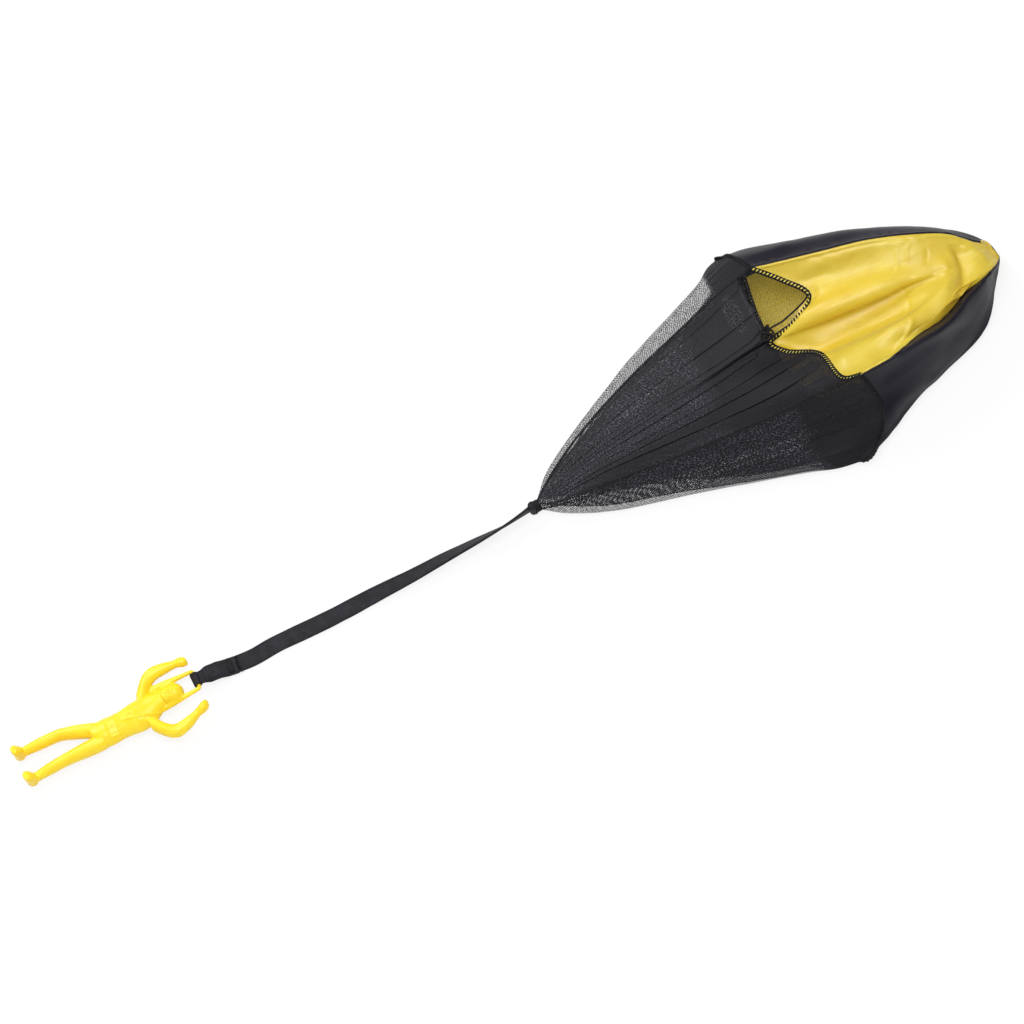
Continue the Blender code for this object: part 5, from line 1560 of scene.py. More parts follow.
    def build(self) -> None:
        """Makes the gores, the nets, the hems and the long seams."""
        gores = {side: self.sew_gore(side) for side in Side}
        self.flap(gores[Side.TOP])
        nets = {side: self.sew_net(side) for side in Side}
        self.tuck(gores[Side.TOP], nets[Side.TOP])
        overlock = Overlock()
        for side in Side:
            overlock.hem(side, gores[side])
        bare = self.crown_rows
        for first, second in zip(Side, (*list(Side)[1:], Side.TOP)):
            line = np.concatenate([gores[first].grid[::-1, -1][bare:], nets[first].grid[1:, -1]])
            on_gores = gores[first].outward[::-1, -1] + gores[second].outward[::-1, 0]
            on_nets = nets[first].outward[1:, -1] + nets[second].outward[1:, 0]
            facing = unit(np.concatenate([on_gores[bare:], on_nets]))
            overlock.seam(SIDES[first][-1], line, facing, len(gores[first].grid) - bare)


@dataclass(frozen=True)
class Overlock:
    """Overlock stitching: slanted loops of thread round a cut edge, and a chain along each side."""

    pitch: float = 1.6 * MM
    hem_width: float = 1.8 * MM
    hem_height: float = 1.0 * MM
    seam_width: float = 0.8 * MM
    seam_height: float = 0.5 * MM
    seam_pitch: float = 1.1 * MM
    seam_thread_radius: float = 0.2 * MM
    thread_radius: float = 0.42 * MM
    slant: float = 0.45 * MM
    seam_slant: float = 0.25 * MM
    net_seam_depth: float = 0.25 * MM
    seam_depth: float = 1.0 * MM
    edge_width: float = 1.3 * MM
    edge_height: float = 0.6 * MM
    edge_sides: int = 12
    loop_points: int = 10
    thread_sides: int = 6

    def tree(self) -> bpy.types.NodeTree:
        """Builds the node tree that works stitches along a line, once.

        Returns:
            The tree, whose inputs are the stitch's sizes and the thread's material.
        """
        found = bpy.data.node_groups.get("overlock_stitches")
        if found:
            return found
        tree = bpy.data.node_groups.new("overlock_stitches", "GeometryNodeTree")
        tree.interface.new_socket("Geometry", in_out="INPUT", socket_type="NodeSocketGeometry")
        for name in ("Pitch", "Width", "Height", "Thread Radius", "Slant"):
            tree.interface.new_socket(name, in_out="INPUT", socket_type="NodeSocketFloat")
        tree.interface.new_socket("Thread", in_out="INPUT", socket_type="NodeSocketMaterial")
        tree.interface.new_socket("Geometry", in_out="OUTPUT", socket_type="NodeSocketGeometry")
        given = add_node(tree, "NodeGroupInput").outputs
        line = add_node(tree, "GeometryNodeMeshToCurve", {"Mesh": given["Geometry"]}).outputs["Curve"]
        line = add_node(tree, "GeometryNodeResampleCurve", {
            "Curve": line, "Length": given["Pitch"],
        }, mode="LENGTH").outputs["Curve"]
        facing = add_node(tree, "GeometryNodeInputNamedAttribute", {"Name": "lie"},
                          data_type="FLOAT_VECTOR").outputs["Attribute"]
        tangent = add_node(tree, "GeometryNodeInputTangent").outputs["Tangent"]
        half, half_high = (
            add_node(tree, "ShaderNodeMath", {0: given[size], 1: 0.5}, operation="MULTIPLY").outputs["Value"]
            for size in ("Width", "Height")
        )
        round_thread = add_node(tree, "GeometryNodeCurvePrimitiveCircle", {
            "Resolution": self.thread_sides, "Radius": given["Thread Radius"],
        }).outputs["Curve"]
        ring = add_node(tree, "GeometryNodeCurvePrimitiveCircle", {
            "Resolution": self.loop_points, "Radius": 1.0,
        }).outputs["Curve"]
        place = add_node(tree, "GeometryNodeInputPosition").outputs["Position"]
        parts = add_node(tree, "ShaderNodeSeparateXYZ", {"Vector": place}).outputs
        scaled = {
            axis: add_node(tree, "ShaderNodeMath", {0: parts[part], 1: size}, operation="MULTIPLY").outputs[0]
            for axis, part, size in (("X", "X", given["Slant"]), ("Y", "X", half), ("Z", "Y", half_high))
        }
        oval = add_node(tree, "ShaderNodeCombineXYZ", scaled)
        loop = add_node(tree, "GeometryNodeSetPosition", {
            "Geometry": ring, "Position": oval.outputs["Vector"],
        }).outputs["Geometry"]
        loop = add_node(tree, "GeometryNodeCurveToMesh", {
            "Curve": loop, "Profile Curve": round_thread,
        }).outputs["Mesh"]
        turned = add_node(tree, "FunctionNodeAxesToRotation", {
            "Primary Axis": facing, "Secondary Axis": tangent,
        }, primary_axis="Z", secondary_axis="X").outputs["Rotation"]
        loops = add_node(tree, "GeometryNodeInstanceOnPoints", {
            "Points": line, "Instance": loop, "Rotation": turned,
        }).outputs["Instances"]
        aside = add_node(tree, "ShaderNodeVectorMath", {0: facing, 1: tangent},
                         operation="CROSS_PRODUCT").outputs["Vector"]
        joined = add_node(tree, "GeometryNodeJoinGeometry")
        tree.links.new(loops, joined.inputs["Geometry"])
        for sign in (1.0, -1.0):
            reach = add_node(tree, "ShaderNodeMath", {0: half, 1: sign}, operation="MULTIPLY")
            offset = add_node(tree, "ShaderNodeVectorMath", {
                0: aside, "Scale": reach.outputs["Value"],
            }, operation="SCALE")
            chain = add_node(tree, "GeometryNodeSetPosition", {
                "Geometry": line, "Offset": offset.outputs["Vector"],
            }).outputs["Geometry"]
            chain = add_node(tree, "GeometryNodeCurveToMesh", {
                "Curve": chain, "Profile Curve": round_thread, "Fill Caps": True,
            }).outputs["Mesh"]
            tree.links.new(chain, joined.inputs["Geometry"])
        real = add_node(tree, "GeometryNodeRealizeInstances", {"Geometry": joined.outputs["Geometry"]})
        dressed = add_node(tree, "GeometryNodeSetMaterial", {
            "Geometry": real.outputs["Geometry"], "Material": given["Thread"],
        }).outputs["Geometry"]
        add_node(tree, "NodeGroupOutput", {"Geometry": dressed})
        return tree

    def work(self, name: str, line: np.ndarray, facing: np.ndarray, sizes: dict[str, float],
             berth: Berth) -> bpy.types.Object:
        """Works stitches along a line.

        Args:
            name: the piece's name.
            line: the line's places, (count, 3).
            facing: the cloth's outward direction at each place.
            sizes: the tree's inputs by name, in metres.
            berth: the piece's body, slot and nodes.

        Returns:
            The stitches as one plain piece.
        """
        mesh = bpy.data.meshes.new(f"{name}_line")
        mesh.from_pydata(line.tolist(), [(i, i + 1) for i in range(len(line) - 1)], [])
        lie = mesh.attributes.new("lie", "FLOAT_VECTOR", "POINT")
        lie.data.foreach_set("vector", facing.astype(np.float32).reshape(-1))
        carrier = new_object(f"{name}_line", mesh)
        modifier = carrier.modifiers.new("stitches", "NODES")
        modifier.node_group = self.tree()
        values = {"Pitch": self.pitch, "Thread Radius": self.thread_radius, "Slant": self.slant,
                  "Thread": BLACK_THREAD.material(), **sizes}
        for item in modifier.node_group.interface.items_tree:
            if item.in_out == "INPUT" and item.name in values:
                modifier[item.identifier] = values[item.name]
        piece = baked(carrier, name)
        piece.data.shade_smooth()
        return settle(piece, BLACK_THREAD, berth)

    def hem(self, side: Side, gore: Panel) -> None:
        """Works a gore's mouth edge: the folded cut edge and the stitches round it.

        Args:
            side: which side of the canopy.
            gore: its gore's panel.
        """
        shares = np.linspace(0.004, 0.996, 2 * gore.grid.shape[1] - 1)
        line = along(gore.grid[0], shares)
        facing = unit(along(gore.outward[0], shares))
        name = f"{side.value}_hem"
        self.work(f"{name}_stitches", line, facing, {"Width": self.hem_width, "Height": self.hem_height},
                  Berth(Body.CANOPY, Slot.THREAD, (name,)))
        _, across, up = frames_on(line, facing)
        oval = circle(self.edge_sides) * (self.edge_width / 2, self.edge_height / 2)
        piece = new_object(f"{name}_edge", sweep_mesh(f"{name}_edge", line, across, up, oval))
        # The yellow hems' edge gets the paler satin, a painted highlight along the fold
        slot = Slot.YELLOW_SATIN if side.yellow else Slot.BLACK_SATIN
        settle(piece, EDGE_HIGHLIGHT_SATIN if side.yellow else BLACK_SATIN, Berth(Body.CANOPY, slot))

    def seam(self, name: str, line: np.ndarray, facing: np.ndarray, gore_count: int) -> None:
        """Works a long seam, turned inside on the gores and lying between the nets.

        Args:
            name: the seam's node.
            line: its places from the crown to the gather.
            facing: the outward direction at each place.
            gore_count: how many of the places are on the gores.
        """
        depth = np.full(len(line), self.net_seam_depth)
        depth[:gore_count] += self.seam_depth * ease(np.arange(gore_count) / gore_count, 1.0, 0.93)
        inside = line - facing * depth[:, None]
        inside[:, 2] = np.maximum(inside[:, 2], self.seam_height / 2 + self.thread_radius)
        self.work(f"{name}_stitches", inside, facing,
                  {"Width": self.seam_width, "Height": self.seam_height, "Pitch": self.seam_pitch,
                   "Thread Radius": self.seam_thread_radius, "Slant": self.seam_slant},
                  Berth(Body.CANOPY, Slot.THREAD, (name,)))


# The strap's route: the share of the reach to the ring, the share of its side drift, and its roll
# in degrees. It stands on edge at the gather and lies flat at the figure.
STRAP_ROUTE_SHARES = (
    (0.0135, 0.0, 76.0), (0.037, -0.6, 72.0), (0.090, -1.5, 66.0), (0.172, -1.3, 50.0), (0.283, -1.2, 34.0),
    (0.375, -1.3, 24.0), (0.492, -0.7, 7.0), (0.615, -0.8, 3.0), (0.769, 0.2, 0.0), (0.843, -0.3, 0.0),
)
# Its last stretch climbs to the ring: the same two shares, and the share of the climb
STRAP_RISE_SHARES = ((0.907, 0.7, 0.10), (0.944, 0.9, 0.55), (0.9914, 0.7, 1.0))


# The bunch's shape from its net end on: share of its length, half width and half height in millimetres
BUNCH_SHAPE = ((0, 2.7, 2.6), (0.35, 2.3, 2.5), (0.7, 2.1, 2.7), (0.93, 1.75, 2.8), (1, 0.6, 1.4))


@dataclass(frozen=True)
class Gather:
    """The nets' ends drawn into one tight bunch, and the thread wound round it."""

    before: float = 3.3 * MM
    past: float = 1.7 * MM
    bunch_sides: int = 104
    pleats: int = 13
    pleat_depth: float = 0.22
    knot_radius: float = 2.1 * MM
    knot_height: float = 6.6 * MM
    knot_past: float = 0.2 * MM
    knot_sides: int = 64
    turns: int = 4
    turn_steps: int = 28
    thread_radius: float = 0.27 * MM
    band: float = 1.4 * MM
    band_before: float = 1.9 * MM
    band_half_sizes: tuple[float, float] = (2.45 * MM, 2.6 * MM)

    def build(self) -> None:
        """Makes the bunch, the ribbon's end in it and the winding round it."""
        middle = np.array((GATHER_X, GATHER_Y, GATHER_HEIGHT))
        shares = np.linspace(0, 1, 28)[:, None]
        line = middle + np.array((1.0, 0.0, 0.0)) * (self.before * (1 - shares) - self.past * shares)
        _, across, up = frames_on(line, np.array((0.0, 0.0, 1.0)))
        turn = np.linspace(0, 2 * math.pi, self.bunch_sides, endpoint=False)
        fold = 1 - self.pleat_depth * (0.5 + 0.5 * np.cos(self.pleats * turn + 0.7 * np.sin(3 * turn)))
        stations, *half_sizes = np.array(BUNCH_SHAPE).T
        sizes = np.stack([np.interp(shares, stations, half) for half in half_sizes], axis=-1) * MM
        outlines = circle(self.bunch_sides) * fold[:, None] * sizes
        mesh = sweep_mesh("gathered_net_bunch", line, across, up, outlines)
        settle(new_object("gathered_net_bunch", mesh), GATHERED_NET,
               Berth(Body.CANOPY, Slot.BLACK_NET, ("gathered_net_ends",)))
        self.knot(middle)
        steps = np.arange(self.turns * self.turn_steps + 1) / (self.turns * self.turn_steps)
        angle = 2 * math.pi * self.turns * steps
        wide, high = self.band_half_sizes
        winding = middle + np.stack([self.band_before + self.band * (steps - 0.5),
                                     wide * np.cos(angle), high * np.sin(angle)], axis=1)
        outward = unit((winding - middle) * (0, 1, 1))
        mesh = thread_mesh("gather_winding", winding, outward, self.thread_radius)
        settle(new_object("gather_winding", mesh), BLACK_THREAD,
               Berth(Body.CANOPY, Slot.THREAD, ("gather_stitches",)))

    def knot(self, middle: np.ndarray) -> None:
        """Rolls the ribbon's folded end that is sewn upright between the nets.

        Args:
            middle: the gather's place.
        """
        rises = np.linspace(-0.5, 0.5, 9)
        line = middle + np.stack([np.full_like(rises, -self.knot_past), np.zeros_like(rises),
                                  rises * self.knot_height], axis=1)
        across = np.broadcast_to((1.0, 0.0, 0.0), line.shape)
        up = np.broadcast_to((0.0, 1.0, 0.0), line.shape)
        turn = np.linspace(0, 2 * math.pi, self.knot_sides, endpoint=False)
        # Two grooves show where the folded ribbon's edges lie
        groove = 1 - 0.16 * np.exp(-((turn - 2.6) / 0.16) ** 2)
        groove -= 0.12 * np.exp(-((turn - 4.4) / 0.14) ** 2)
        radius = self.knot_radius * (1 - 0.12 * abs(2 * rises) ** 6 + 0.05 * np.sin(9 * rises))
        outlines = circle(self.knot_sides) * groove[:, None] * radius[:, None, None]
        mesh = sweep_mesh("strap_end_roll", line, across, up, outlines)
        settle(new_object("strap_end_roll", mesh), BLACK_RIBBON, Berth(Body.CANOPY, Slot.RIBBON))


@dataclass(frozen=True)
class Strap:
    """The woven ribbon from the gather to the figure's ring, sewn to a loop at each end."""

    width: float = 8 * MM
    thickness: float = 1.1 * MM
    lift: float = 0.9 * MM
    drift: float = 1.0 * MM
    loop_width: float = 6 * MM
    loop_wall: float = 0.6 * MM
    bar_gap: float = 0.35 * MM
    steps: int = 16
    tack_reach: float = 14.5 * MM
    tack_length: float = 2.2 * MM
    tack_legs: int = 13
    tack_inset: float = 0.6 * MM
    tack_lift: float = 0.35 * MM
    thread_radius: float = 0.22 * MM
    ply_start: float = 18 * MM
    ply_end: float = 2.5 * MM
    ply_shift: float = 0.5 * MM
    ply_thickness: float = 0.5 * MM
    curl_height: float = 0.35 * MM
    edge_waver: float = 0.25 * MM
    fibre_count: int = 22
    fibre_radius: float = 0.09 * MM

    def route(self) -> tuple[np.ndarray, np.ndarray]:
        """Draws the ribbon's way from the gather to the ring.

        Returns:
            Its middle line, and its roll at each place.
        """
        places, rolls = [], []
        for reach, aside, roll in STRAP_ROUTE_SHARES:
            turn = math.radians(roll)
            rise = self.lift + self.width / 2 * math.sin(turn)
            places.append((GATHER_X - reach * RING_REACH, GATHER_Y + aside * self.drift, rise))
            rolls.append(turn)
        for reach, aside, climb in STRAP_RISE_SHARES:
            rise = self.lift + climb * (RING_HEIGHT - self.lift)
            places.append((GATHER_X - reach * RING_REACH, GATHER_Y + aside * self.drift, rise))
            rolls.append(0.0)
        line = smooth(np.array(places), self.steps)
        knots = np.arange(len(places)) * self.steps
        return line, np.interp(np.arange(len(line)), knots, rolls)

    def outline(self, width: float, thickness: float) -> np.ndarray:
        """Draws the ribbon's cross section: two plies with a groove at each edge.

        Args:
            width: its width.
            thickness: its thickness.

        Returns:
            The section's points, (points, 2).
        """
        half, thin = width / 2, thickness / 2
        side = [(half - 0.25 * MM, thin), (half - 0.06 * MM, 0.75 * thin), (half, 0.45 * thin),
                (half - 0.18 * MM, 0.0), (half, -0.45 * thin), (half - 0.06 * MM, -0.75 * thin),
                (half - 0.25 * MM, -thin)]
        flat = [(half * share, -thin) for share in (0.6, 0.2, -0.2, -0.6)]
        back = [(-x, -y) for x, y in side]
        top = [(half * share, thin) for share in (-0.6, -0.2, 0.2, 0.6)]
        return np.array([*side, *flat, *back, *top])

    def ribbon(self) -> bpy.types.Mesh:
        """Sweeps the ribbon along its route, narrower into the loop.

        Returns:
            The ribbon's mesh.
        """
        line, rolls = self.route()
        ahead = unit(np.gradient(line, axis=0))
        across = np.stack([np.zeros_like(rolls), np.cos(rolls), -np.sin(rolls)], axis=1)
        up = unit(np.cross(across, ahead))
        run = reaches(line)
        left = run[-1] - run
        edge = np.array([noise.noise(Vector((s * 130, 0.3, 0.0))) for s in run])
        curl = np.array([noise.noise(Vector((s * 45, 5.3, 0.0))) for s in run])
        outlines = []
        for i in range(len(line)):
            narrow = float(ease(np.array(left[i]), 5 * MM, 1.0 * MM))
            width = self.width + (self.loop_width - self.width) * narrow + self.edge_waver * edge[i]
            shape = self.outline(width, self.thickness)
            bend = (shape[:, 0] / (width / 2)) ** 2
            shape[:, 1] += self.curl_height * (curl[i] - 0.1) * bend * (1 - narrow)
            outlines.append(shape)
        return sweep_mesh("ribbon", line, across, up, np.stack(outlines))

    def loop(self) -> bpy.types.Mesh:
        """Makes the band of ribbon that goes round the ring's bar.

        Returns:
            The band's mesh.
        """
        out = np.insert(circle(40), 1, 0.0, axis=1)
        radius = RING_BAR_RADIUS + self.bar_gap + self.loop_wall / 2
        line = np.array((GATHER_X - RING_REACH, RING_Y, RING_HEIGHT)) + out * radius
        across = np.broadcast_to((0.0, 1.0, 0.0), line.shape)
        outline = self.outline(self.loop_width, self.loop_wall)
        return sweep_mesh("ribbon_loop", line, across, out, outline, closed=True)

    def ply_line(self) -> tuple[np.ndarray, np.ndarray, np.ndarray, np.ndarray]:
        """Finds where the second ply lies on the ribbon.

        Returns:
            Its middle line, and the three directions at each place.
        """
        line, _ = self.route()
        left = reaches(line)[-1] - reaches(line)
        line = line[(left < self.ply_start) & (left > self.ply_end)]
        tangent, across, up = frames_on(line, np.array((0.0, 0.0, 1.0)))
        return line + up * (self.thickness / 2 + 0.1 * MM), tangent, across, up

    def ply(self) -> bpy.types.Mesh:
        """Lays the ribbon's turned end over it, a little to the far side.

        Returns:
            The turned end's mesh.
        """
        line, _, across, up = self.ply_line()
        share = np.linspace(0, 1, len(line))
        outlines = []
        for part in share:
            width = self.width + 0.35 * MM - 2.2 * MM * float(ease(np.array(part), 0.55, 1.0))
            outlines.append(self.outline(width, self.ply_thickness) * (1, 1 - 0.3 * part))
        shift = self.ply_shift * (1 - ease(share, 0.2, 0.9))[:, None]
        return sweep_mesh("ribbon_ply", line + across * shift, across, up, np.stack(outlines))

    def fray(self) -> list[bpy.types.Mesh]:
        """Makes the loose fibres at the turned end's cut edge.

        Returns:
            A mesh for each fibre.
        """
        line, tangent, across, up = self.ply_line()
        fibres = []
        for i in range(self.fibre_count):
            share = i / (self.fibre_count - 1)
            sway = noise.noise(Vector((7.3 * share, 1.7, 0.4)))
            start = line[0] + across[0] * (self.width * (share - 0.5) * 0.96 + self.ply_shift)
            length = (0.7 + 0.5 * abs(sway) + 0.9 * ease(np.array(share), 0.6, 1.0)) * MM
            steps = np.linspace(0, 1, 7)[:, None]
            bend = across[0] * (0.6 * sway + 0.4 * (share - 0.4)) + up[0] * (0.25 + 0.3 * sway)
            fibre = start - tangent[0] * length * steps + bend * length * steps ** 2
            fibres.append(thread_mesh("ribbon_fibre", fibre, up[0], self.fibre_radius, sides=6))
        return fibres

    def build(self) -> None:
        """Makes the ribbon with its loop, and the stitches that close the loop."""
        mesh = joined("strap_ribbon", [self.ribbon(), self.loop(), self.ply(), *self.fray()])
        strap = settle(new_object("strap_ribbon", mesh), BLACK_RIBBON,
                       Berth(Body.STRAP, Slot.RIBBON, ("strap",)))
        tack = self.tack()
        line, _ = self.route()

    def tack(self) -> bpy.types.Object:
        """Makes the zigzag of stitches across the ribbon near the ring.

        Returns:
            The stitches' piece.
        """
        line, _ = self.route()
        tack_x = GATHER_X - RING_REACH + self.tack_reach
        start = line[np.argmin(np.abs(line[:, 0] - tack_x))]
        half = self.width / 2 - self.tack_inset
        top = start[2] + self.thickness / 2 + self.tack_lift + self.thread_radius * 0.6
        leg = self.tack_length / self.tack_legs
        corners = [(tack_x + leg * i, start[1] + (half if i % 2 else -half), top)
                   for i in range(self.tack_legs + 1)]
        dense = np.concatenate([np.linspace(a, b, 8, endpoint=False) for a, b in zip(corners, corners[1:])])
        mesh = thread_mesh("strap_tack_stitches", dense, np.array((0.0, 0.0, 1.0)), self.thread_radius)
        return settle(new_object("strap_tack_stitches", mesh), BLACK_THREAD,
                      Berth(Body.STRAP, Slot.THREAD, ("strap_bar_tack",)))


@dataclass(frozen=True)
class Relief:
    """A raised line on the figure's upper side, through (along, across) shares."""

    places: tuple[tuple[float, float], ...]
    height: float
    width: float


@dataclass(frozen=True)
class Dab:
    """A rounded rise or hollow at (along, across) shares, with its half sizes in millimetres."""

    along: float
    across: float
    half_length: float
    half_width: float
    height: float


HARNESS = (
    Relief(((0.62, -0.17), (0.70, -0.34), (0.78, -0.52), (0.83, -0.58)), 0.30, 0.45),
    Relief(((0.62, -0.17), (0.70, 0.00), (0.78, 0.18), (0.83, 0.26)), 0.30, 0.45),
    Relief(((0.705, -0.72), (0.712, -0.20), (0.705, 0.34)), 0.22, 0.40),
    Relief(((0.603, -0.80), (0.607, -0.20), (0.603, 0.42)), 0.28, 0.55),
    Relief(((0.53, -0.62), (0.59, -0.62), (0.59, -0.22), (0.53, -0.22), (0.53, -0.62)), 0.25, 0.40),
    Relief(((0.53, -0.14), (0.59, -0.14), (0.59, 0.24), (0.53, 0.24), (0.53, -0.14)), 0.25, 0.40),
    Relief(((0.625, -0.08), (0.69, -0.08), (0.69, 0.30), (0.625, 0.30), (0.625, -0.08)), 0.25, 0.40),
    Relief(((0.055, -0.66), (0.058, -0.46), (0.055, -0.26)), 0.25, 0.45),
    Relief(((0.055, 0.66), (0.058, 0.87), (0.055, 1.08)), 0.25, 0.45),
    Relief(((1.020, -1.55), (1.022, -1.34), (1.020, -1.12)), 0.22, 0.35),
    Relief(((1.020, 1.00), (1.022, 1.20), (1.020, 1.42)), 0.22, 0.35),
    Relief(((0.892, -0.42), (0.886, 0.02), (0.892, 0.46)), 0.22, 0.40),
)
MARKS = (
    Dab(0.844, 0.34, 0.55, 0.55, -0.40), Dab(0.845, -0.90, 0.55, 0.55, -0.30),
    Dab(0.688, -0.16, 0.40, 0.40, -0.30),
)
FACE = (
    Dab(0.931, -0.13, 0.55, 0.75, -0.30), Dab(0.931, 0.17, 0.55, 0.75, -0.30),
    Dab(0.931, -0.13, 0.28, 0.42, 0.18), Dab(0.931, 0.17, 0.28, 0.42, 0.18),
    Dab(0.942, 0.02, 0.35, 2.0, 0.16), Dab(0.919, 0.02, 1.05, 0.34, 0.42),
    Dab(0.911, 0.02, 0.30, 0.52, 0.22), Dab(0.9005, 0.02, 0.20, 0.85, 0.16),
    Dab(0.8985, 0.02, 0.10, 0.80, -0.10), Dab(0.890, 0.02, 0.50, 0.70, 0.20),
)


@dataclass(frozen=True)
class Figure:
    """The moulded figure with its ring, in one piece."""

    height: float = 78 * MM
    depth: float = 10 * MM
    middle_y: float = -3 * MM
    ring_to_crown: float = 6.9 * MM
    ring_half_width: float = 4.4 * MM
    ring_splay: float = 0.8 * MM
    ring_corner: float = 1.0 * MM
    ring_side: float = 20 * MM
    ring_foot_radius: float = 1.5 * MM
    voxel: float = 0.3 * MM
    melt_share: float = 0.5
    melt_rounds: int = 6
    sides: int = 24
    section_steps: int = 4

    def place(self, along_share: float, across: float, up: float) -> tuple[float, float, float]:
        """Turns shares of the figure's sizes into a place."""
        feet = GATHER_X - RING_REACH - self.ring_to_crown - self.height
        return feet + along_share * self.height, self.middle_y + across * self.depth, up * self.depth

    def loft(self, shares: Sequence[Sequence[float]]) -> bpy.types.Mesh:
        """Makes a closed form through smooth rings across the figure's length.

        Args:
            shares: the rings, as the tables give them.

        Returns:
            The form's mesh.
        """
        smoothed = smooth(np.array(shares), self.section_steps)
        line = np.array([self.place(a, b, c) for a, b, c, _, _ in smoothed])
        outlines = circle(self.sides) * (smoothed[:, None, 3:5] * self.depth)
        across = np.broadcast_to((0.0, 1.0, 0.0), line.shape)
        up = np.broadcast_to((0.0, 0.0, 1.0), line.shape)
        return sweep_mesh("limb", line, across, up, outlines)

    def shoe(self, aside: float) -> bpy.types.Mesh:
        """Makes a shoe, toes up, from rings over its sole's length.

        Args:
            aside: how far across the figure it stands, as a share.

        Returns:
            The shoe's mesh.
        """
        smoothed = smooth(np.array(SHOE_SHARES), self.section_steps)
        line = np.array([self.place(a, b + aside, c) for a, b, c, _, _ in smoothed])
        sizes = np.stack([smoothed[:, 3] * self.depth, smoothed[:, 4] * self.height], axis=1)
        across = np.broadcast_to((0.0, 1.0, 0.0), line.shape)
        ahead = np.broadcast_to((1.0, 0.0, 0.0), line.shape)
        return sweep_mesh("shoe", line, across, ahead, circle(self.sides) * sizes[:, None])

    def ring(self) -> bpy.types.Mesh:
        """Sweeps the ring's bar up one side, round two corners and down the other.

        Returns:
            The ring's mesh.
        """
        bar = np.array((GATHER_X - RING_REACH, RING_Y, RING_HEIGHT))
        corner = self.ring_corner
        places = [bar + (-self.ring_side, -self.ring_half_width - self.ring_splay, 0)]
        for side, start in ((-1, math.pi), (1, math.pi / 2)):
            middle = bar + (-corner, side * (self.ring_half_width - corner), 0)
            for i in range(9):
                turn = start - math.pi / 2 * i / 8
                places.append(middle + corner * np.array((math.sin(turn), math.cos(turn), 0)))
        places.append(bar + (-self.ring_side, self.ring_half_width + self.ring_splay, 0))
        line = smooth(np.array(places), 3)
        _, across, up = frames_on(line, np.array((0.0, 0.0, 1.0)))
        behind = bar[0] - line[:, 0]
        foot = ease(behind, 2 * MM, 12 * MM)
        radius = RING_BAR_RADIUS + (self.ring_foot_radius - RING_BAR_RADIUS) * foot
        return sweep_mesh("ring", line, across, up, circle(self.sides) * radius[:, None, None])

    def moulded(self, piece: bpy.types.Object) -> None:
        """Raises the harness, the cuffs and the face on the moulding's upper side.

        Args:
            piece: the plain moulding, whose mesh is changed.
        """
        mesh = piece.data
        count = len(mesh.vertices)
        places = np.zeros(count * 3, np.float32)
        facing = np.zeros(count * 3, np.float32)
        mesh.vertices.foreach_get("co", places)
        mesh.vertex_normals.foreach_get("vector", facing)
        places, facing = places.reshape(-1, 3).astype(float), facing.reshape(-1, 3).astype(float)
        feet = self.place(0.0, 0.0, 0.0)
        flat = np.stack([places[:, 0] - feet[0], places[:, 1] - self.middle_y], axis=1)
        upper = ease(facing[:, 2], 0.0, 0.45)
        rise = np.zeros(count)
        for relief in HARNESS:
            corners = np.array(relief.places) * (self.height, self.depth)
            least = np.full(count, np.inf)
            for start, end in zip(corners, corners[1:]):
                span = end - start
                part = np.clip(((flat - start) @ span) / (span @ span), 0, 1)
                least = np.minimum(least, np.linalg.norm(flat - start - part[:, None] * span, axis=1))
            ridge = ease(least, relief.width * MM, relief.width * 0.5 * MM)
            rise = np.maximum(rise, relief.height * MM * ridge)
        for dab in (*FACE, *MARKS):
            away = (flat - (dab.along * self.height, dab.across * self.depth)) / MM
            away = away / (dab.half_length, dab.half_width)
            rise += dab.height * MM * np.exp(-(away ** 2).sum(axis=1)) * (facing[:, 2] > 0)
        places += facing * (rise * upper)[:, None]
        mesh.vertices.foreach_set("co", places.astype(np.float32).reshape(-1))
        mesh.update()

    def build(self) -> None:
        """Joins the limbs and the ring into one moulding."""
        meshes = [self.loft(shares) for shares in (TORSO_SHARES, HEAD_SHARES, HELMET_SHARES)]
        meshes += [self.loft(shares) for shares in LIMB_SHARES.values()]
        meshes += [self.shoe(aside) for aside in SHOE_ACROSS_SHARES.values()]
        meshes.append(self.ring())
        carrier = new_object("figure_shapes", joined("figure_shapes", meshes))
        mould = carrier.modifiers.new("mould", "REMESH")
        mould.mode = "VOXEL"
        mould.voxel_size = self.voxel
        melt = carrier.modifiers.new("melt", "SMOOTH")
        melt.factor = self.melt_share
        melt.iterations = self.melt_rounds
        piece = baked(carrier, "figure_moulding")
        self.moulded(piece)
        piece.data.shade_smooth()
        settle(piece, YELLOW_PLASTIC, Berth(Body.FIGURE, Slot.PLASTIC, ("figure",)))


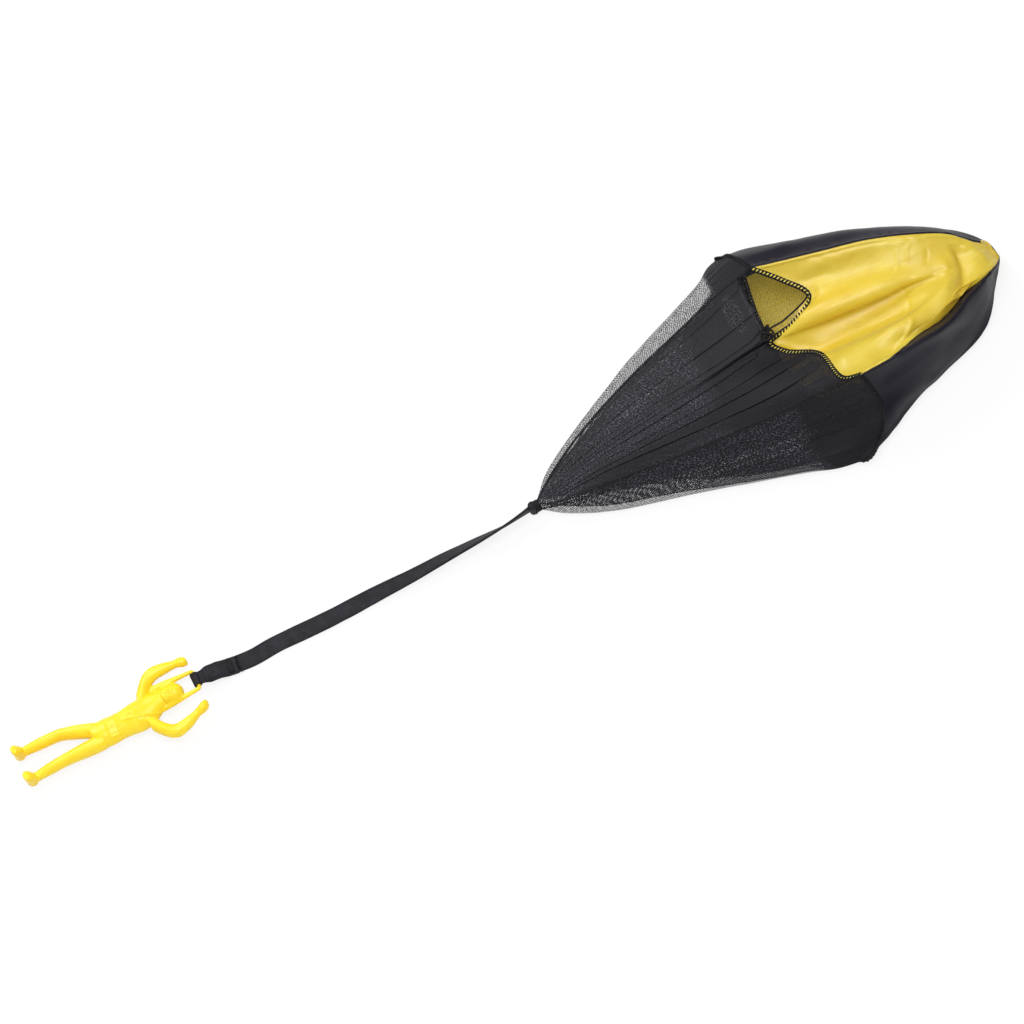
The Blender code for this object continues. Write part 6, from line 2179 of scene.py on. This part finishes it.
@dataclass(frozen=True)
class Studio:
    """White paper, soft lamps and the camera."""

    target: tuple[float, float, float] = (1.2 * MM, 2.5 * MM, 0.0)
    distance: float = 4.5
    lens: float = 367.9
    floor_size: float = 8.0
    world_strength: float = 0.5

    def build(self) -> None:
        """Sets up the paper, the lamps, the world and the camera."""
        self.add_paper()
        self.add_lamp("key_softbox", (-0.35, 1.15, 1.15), 0.6, 11.0)
        self.add_lamp("overhead_softbox", (0.0, -0.1, 1.6), 0.9, 16.5)
        self.add_lamp("fill", (-0.6, -1.0, 0.8), 1.0, 1.6)
        world = bpy.data.worlds.new("room")
        world.use_nodes = True
        world.node_tree.nodes.clear()
        tree = world.node_tree
        room = add_node(tree, "ShaderNodeBackground", {"Strength": self.world_strength})
        add_node(tree, "ShaderNodeOutputWorld", {"Surface": room.outputs["Background"]})
        bpy.context.scene.world = world
        self.add_camera()
        bpy.context.scene.view_settings.view_transform = "Standard"

    def add_paper(self) -> None:
        """Lays the white paper under the toy."""
        half = self.floor_size / 2
        mesh = bpy.data.meshes.new("paper")
        mesh.from_pydata([(-half, -half, 0), (half, -half, 0), (half, half, 0), (-half, half, 0)], [],
                         [(0, 1, 2, 3)])
        paper = new_object("paper", mesh)
        paper.data.materials.append(WHITE_PAPER.material())

    def add_lamp(self, name: str, place: tuple[float, float, float], size: float, power: float) -> None:
        """Hangs one square soft lamp that faces the toy.

        Args:
            name: the lamp's name.
            place: where it hangs, in metres.
            size: its side in metres.
            power: its power in watts.
        """
        light = bpy.data.lights.new(name, "AREA")
        light.shape = "SQUARE"
        light.size = size
        light.energy = power
        lamp = bpy.data.objects.new(name, light)
        lamp.location = place
        lamp.rotation_euler = (Vector(self.target) - Vector(place)).to_track_quat("-Z", "Y").to_euler()
        bpy.context.scene.collection.objects.link(lamp)

    def add_camera(self) -> None:
        """Sets the camera at the photograph's angle and roll."""
        camera = bpy.data.cameras.new("camera")
        camera.lens = self.lens
        camera.sensor_width = 36.0
        holder = bpy.data.objects.new("camera", camera)
        ahead = Vector((0.0, math.cos(SIGHT_ANGLE), -math.sin(SIGHT_ANGLE)))
        level_up = Vector((0.0, math.sin(SIGHT_ANGLE), math.cos(SIGHT_ANGLE)))
        right = Vector((1.0, 0.0, 0.0)) * math.cos(SIGHT_ROLL) - level_up * math.sin(SIGHT_ROLL)
        up = Vector((1.0, 0.0, 0.0)) * math.sin(SIGHT_ROLL) + level_up * math.cos(SIGHT_ROLL)
        turn = Matrix((right, up, -ahead)).transposed()
        place = Vector(self.target) - ahead * self.distance
        holder.matrix_world = Matrix.Translation(place) @ turn.to_4x4()
        bpy.context.scene.collection.objects.link(holder)
        bpy.context.scene.camera = holder


def main() -> None:
    """Builds the studio and the toy's parts in order."""
    logging.basicConfig(level=logging.INFO, format="%(name)s: %(message)s")
    Studio().build()
    Strap().build()
    Gather().build()
    Canopy().build()
    Figure().build()


if __name__ == "__main__":
    main()
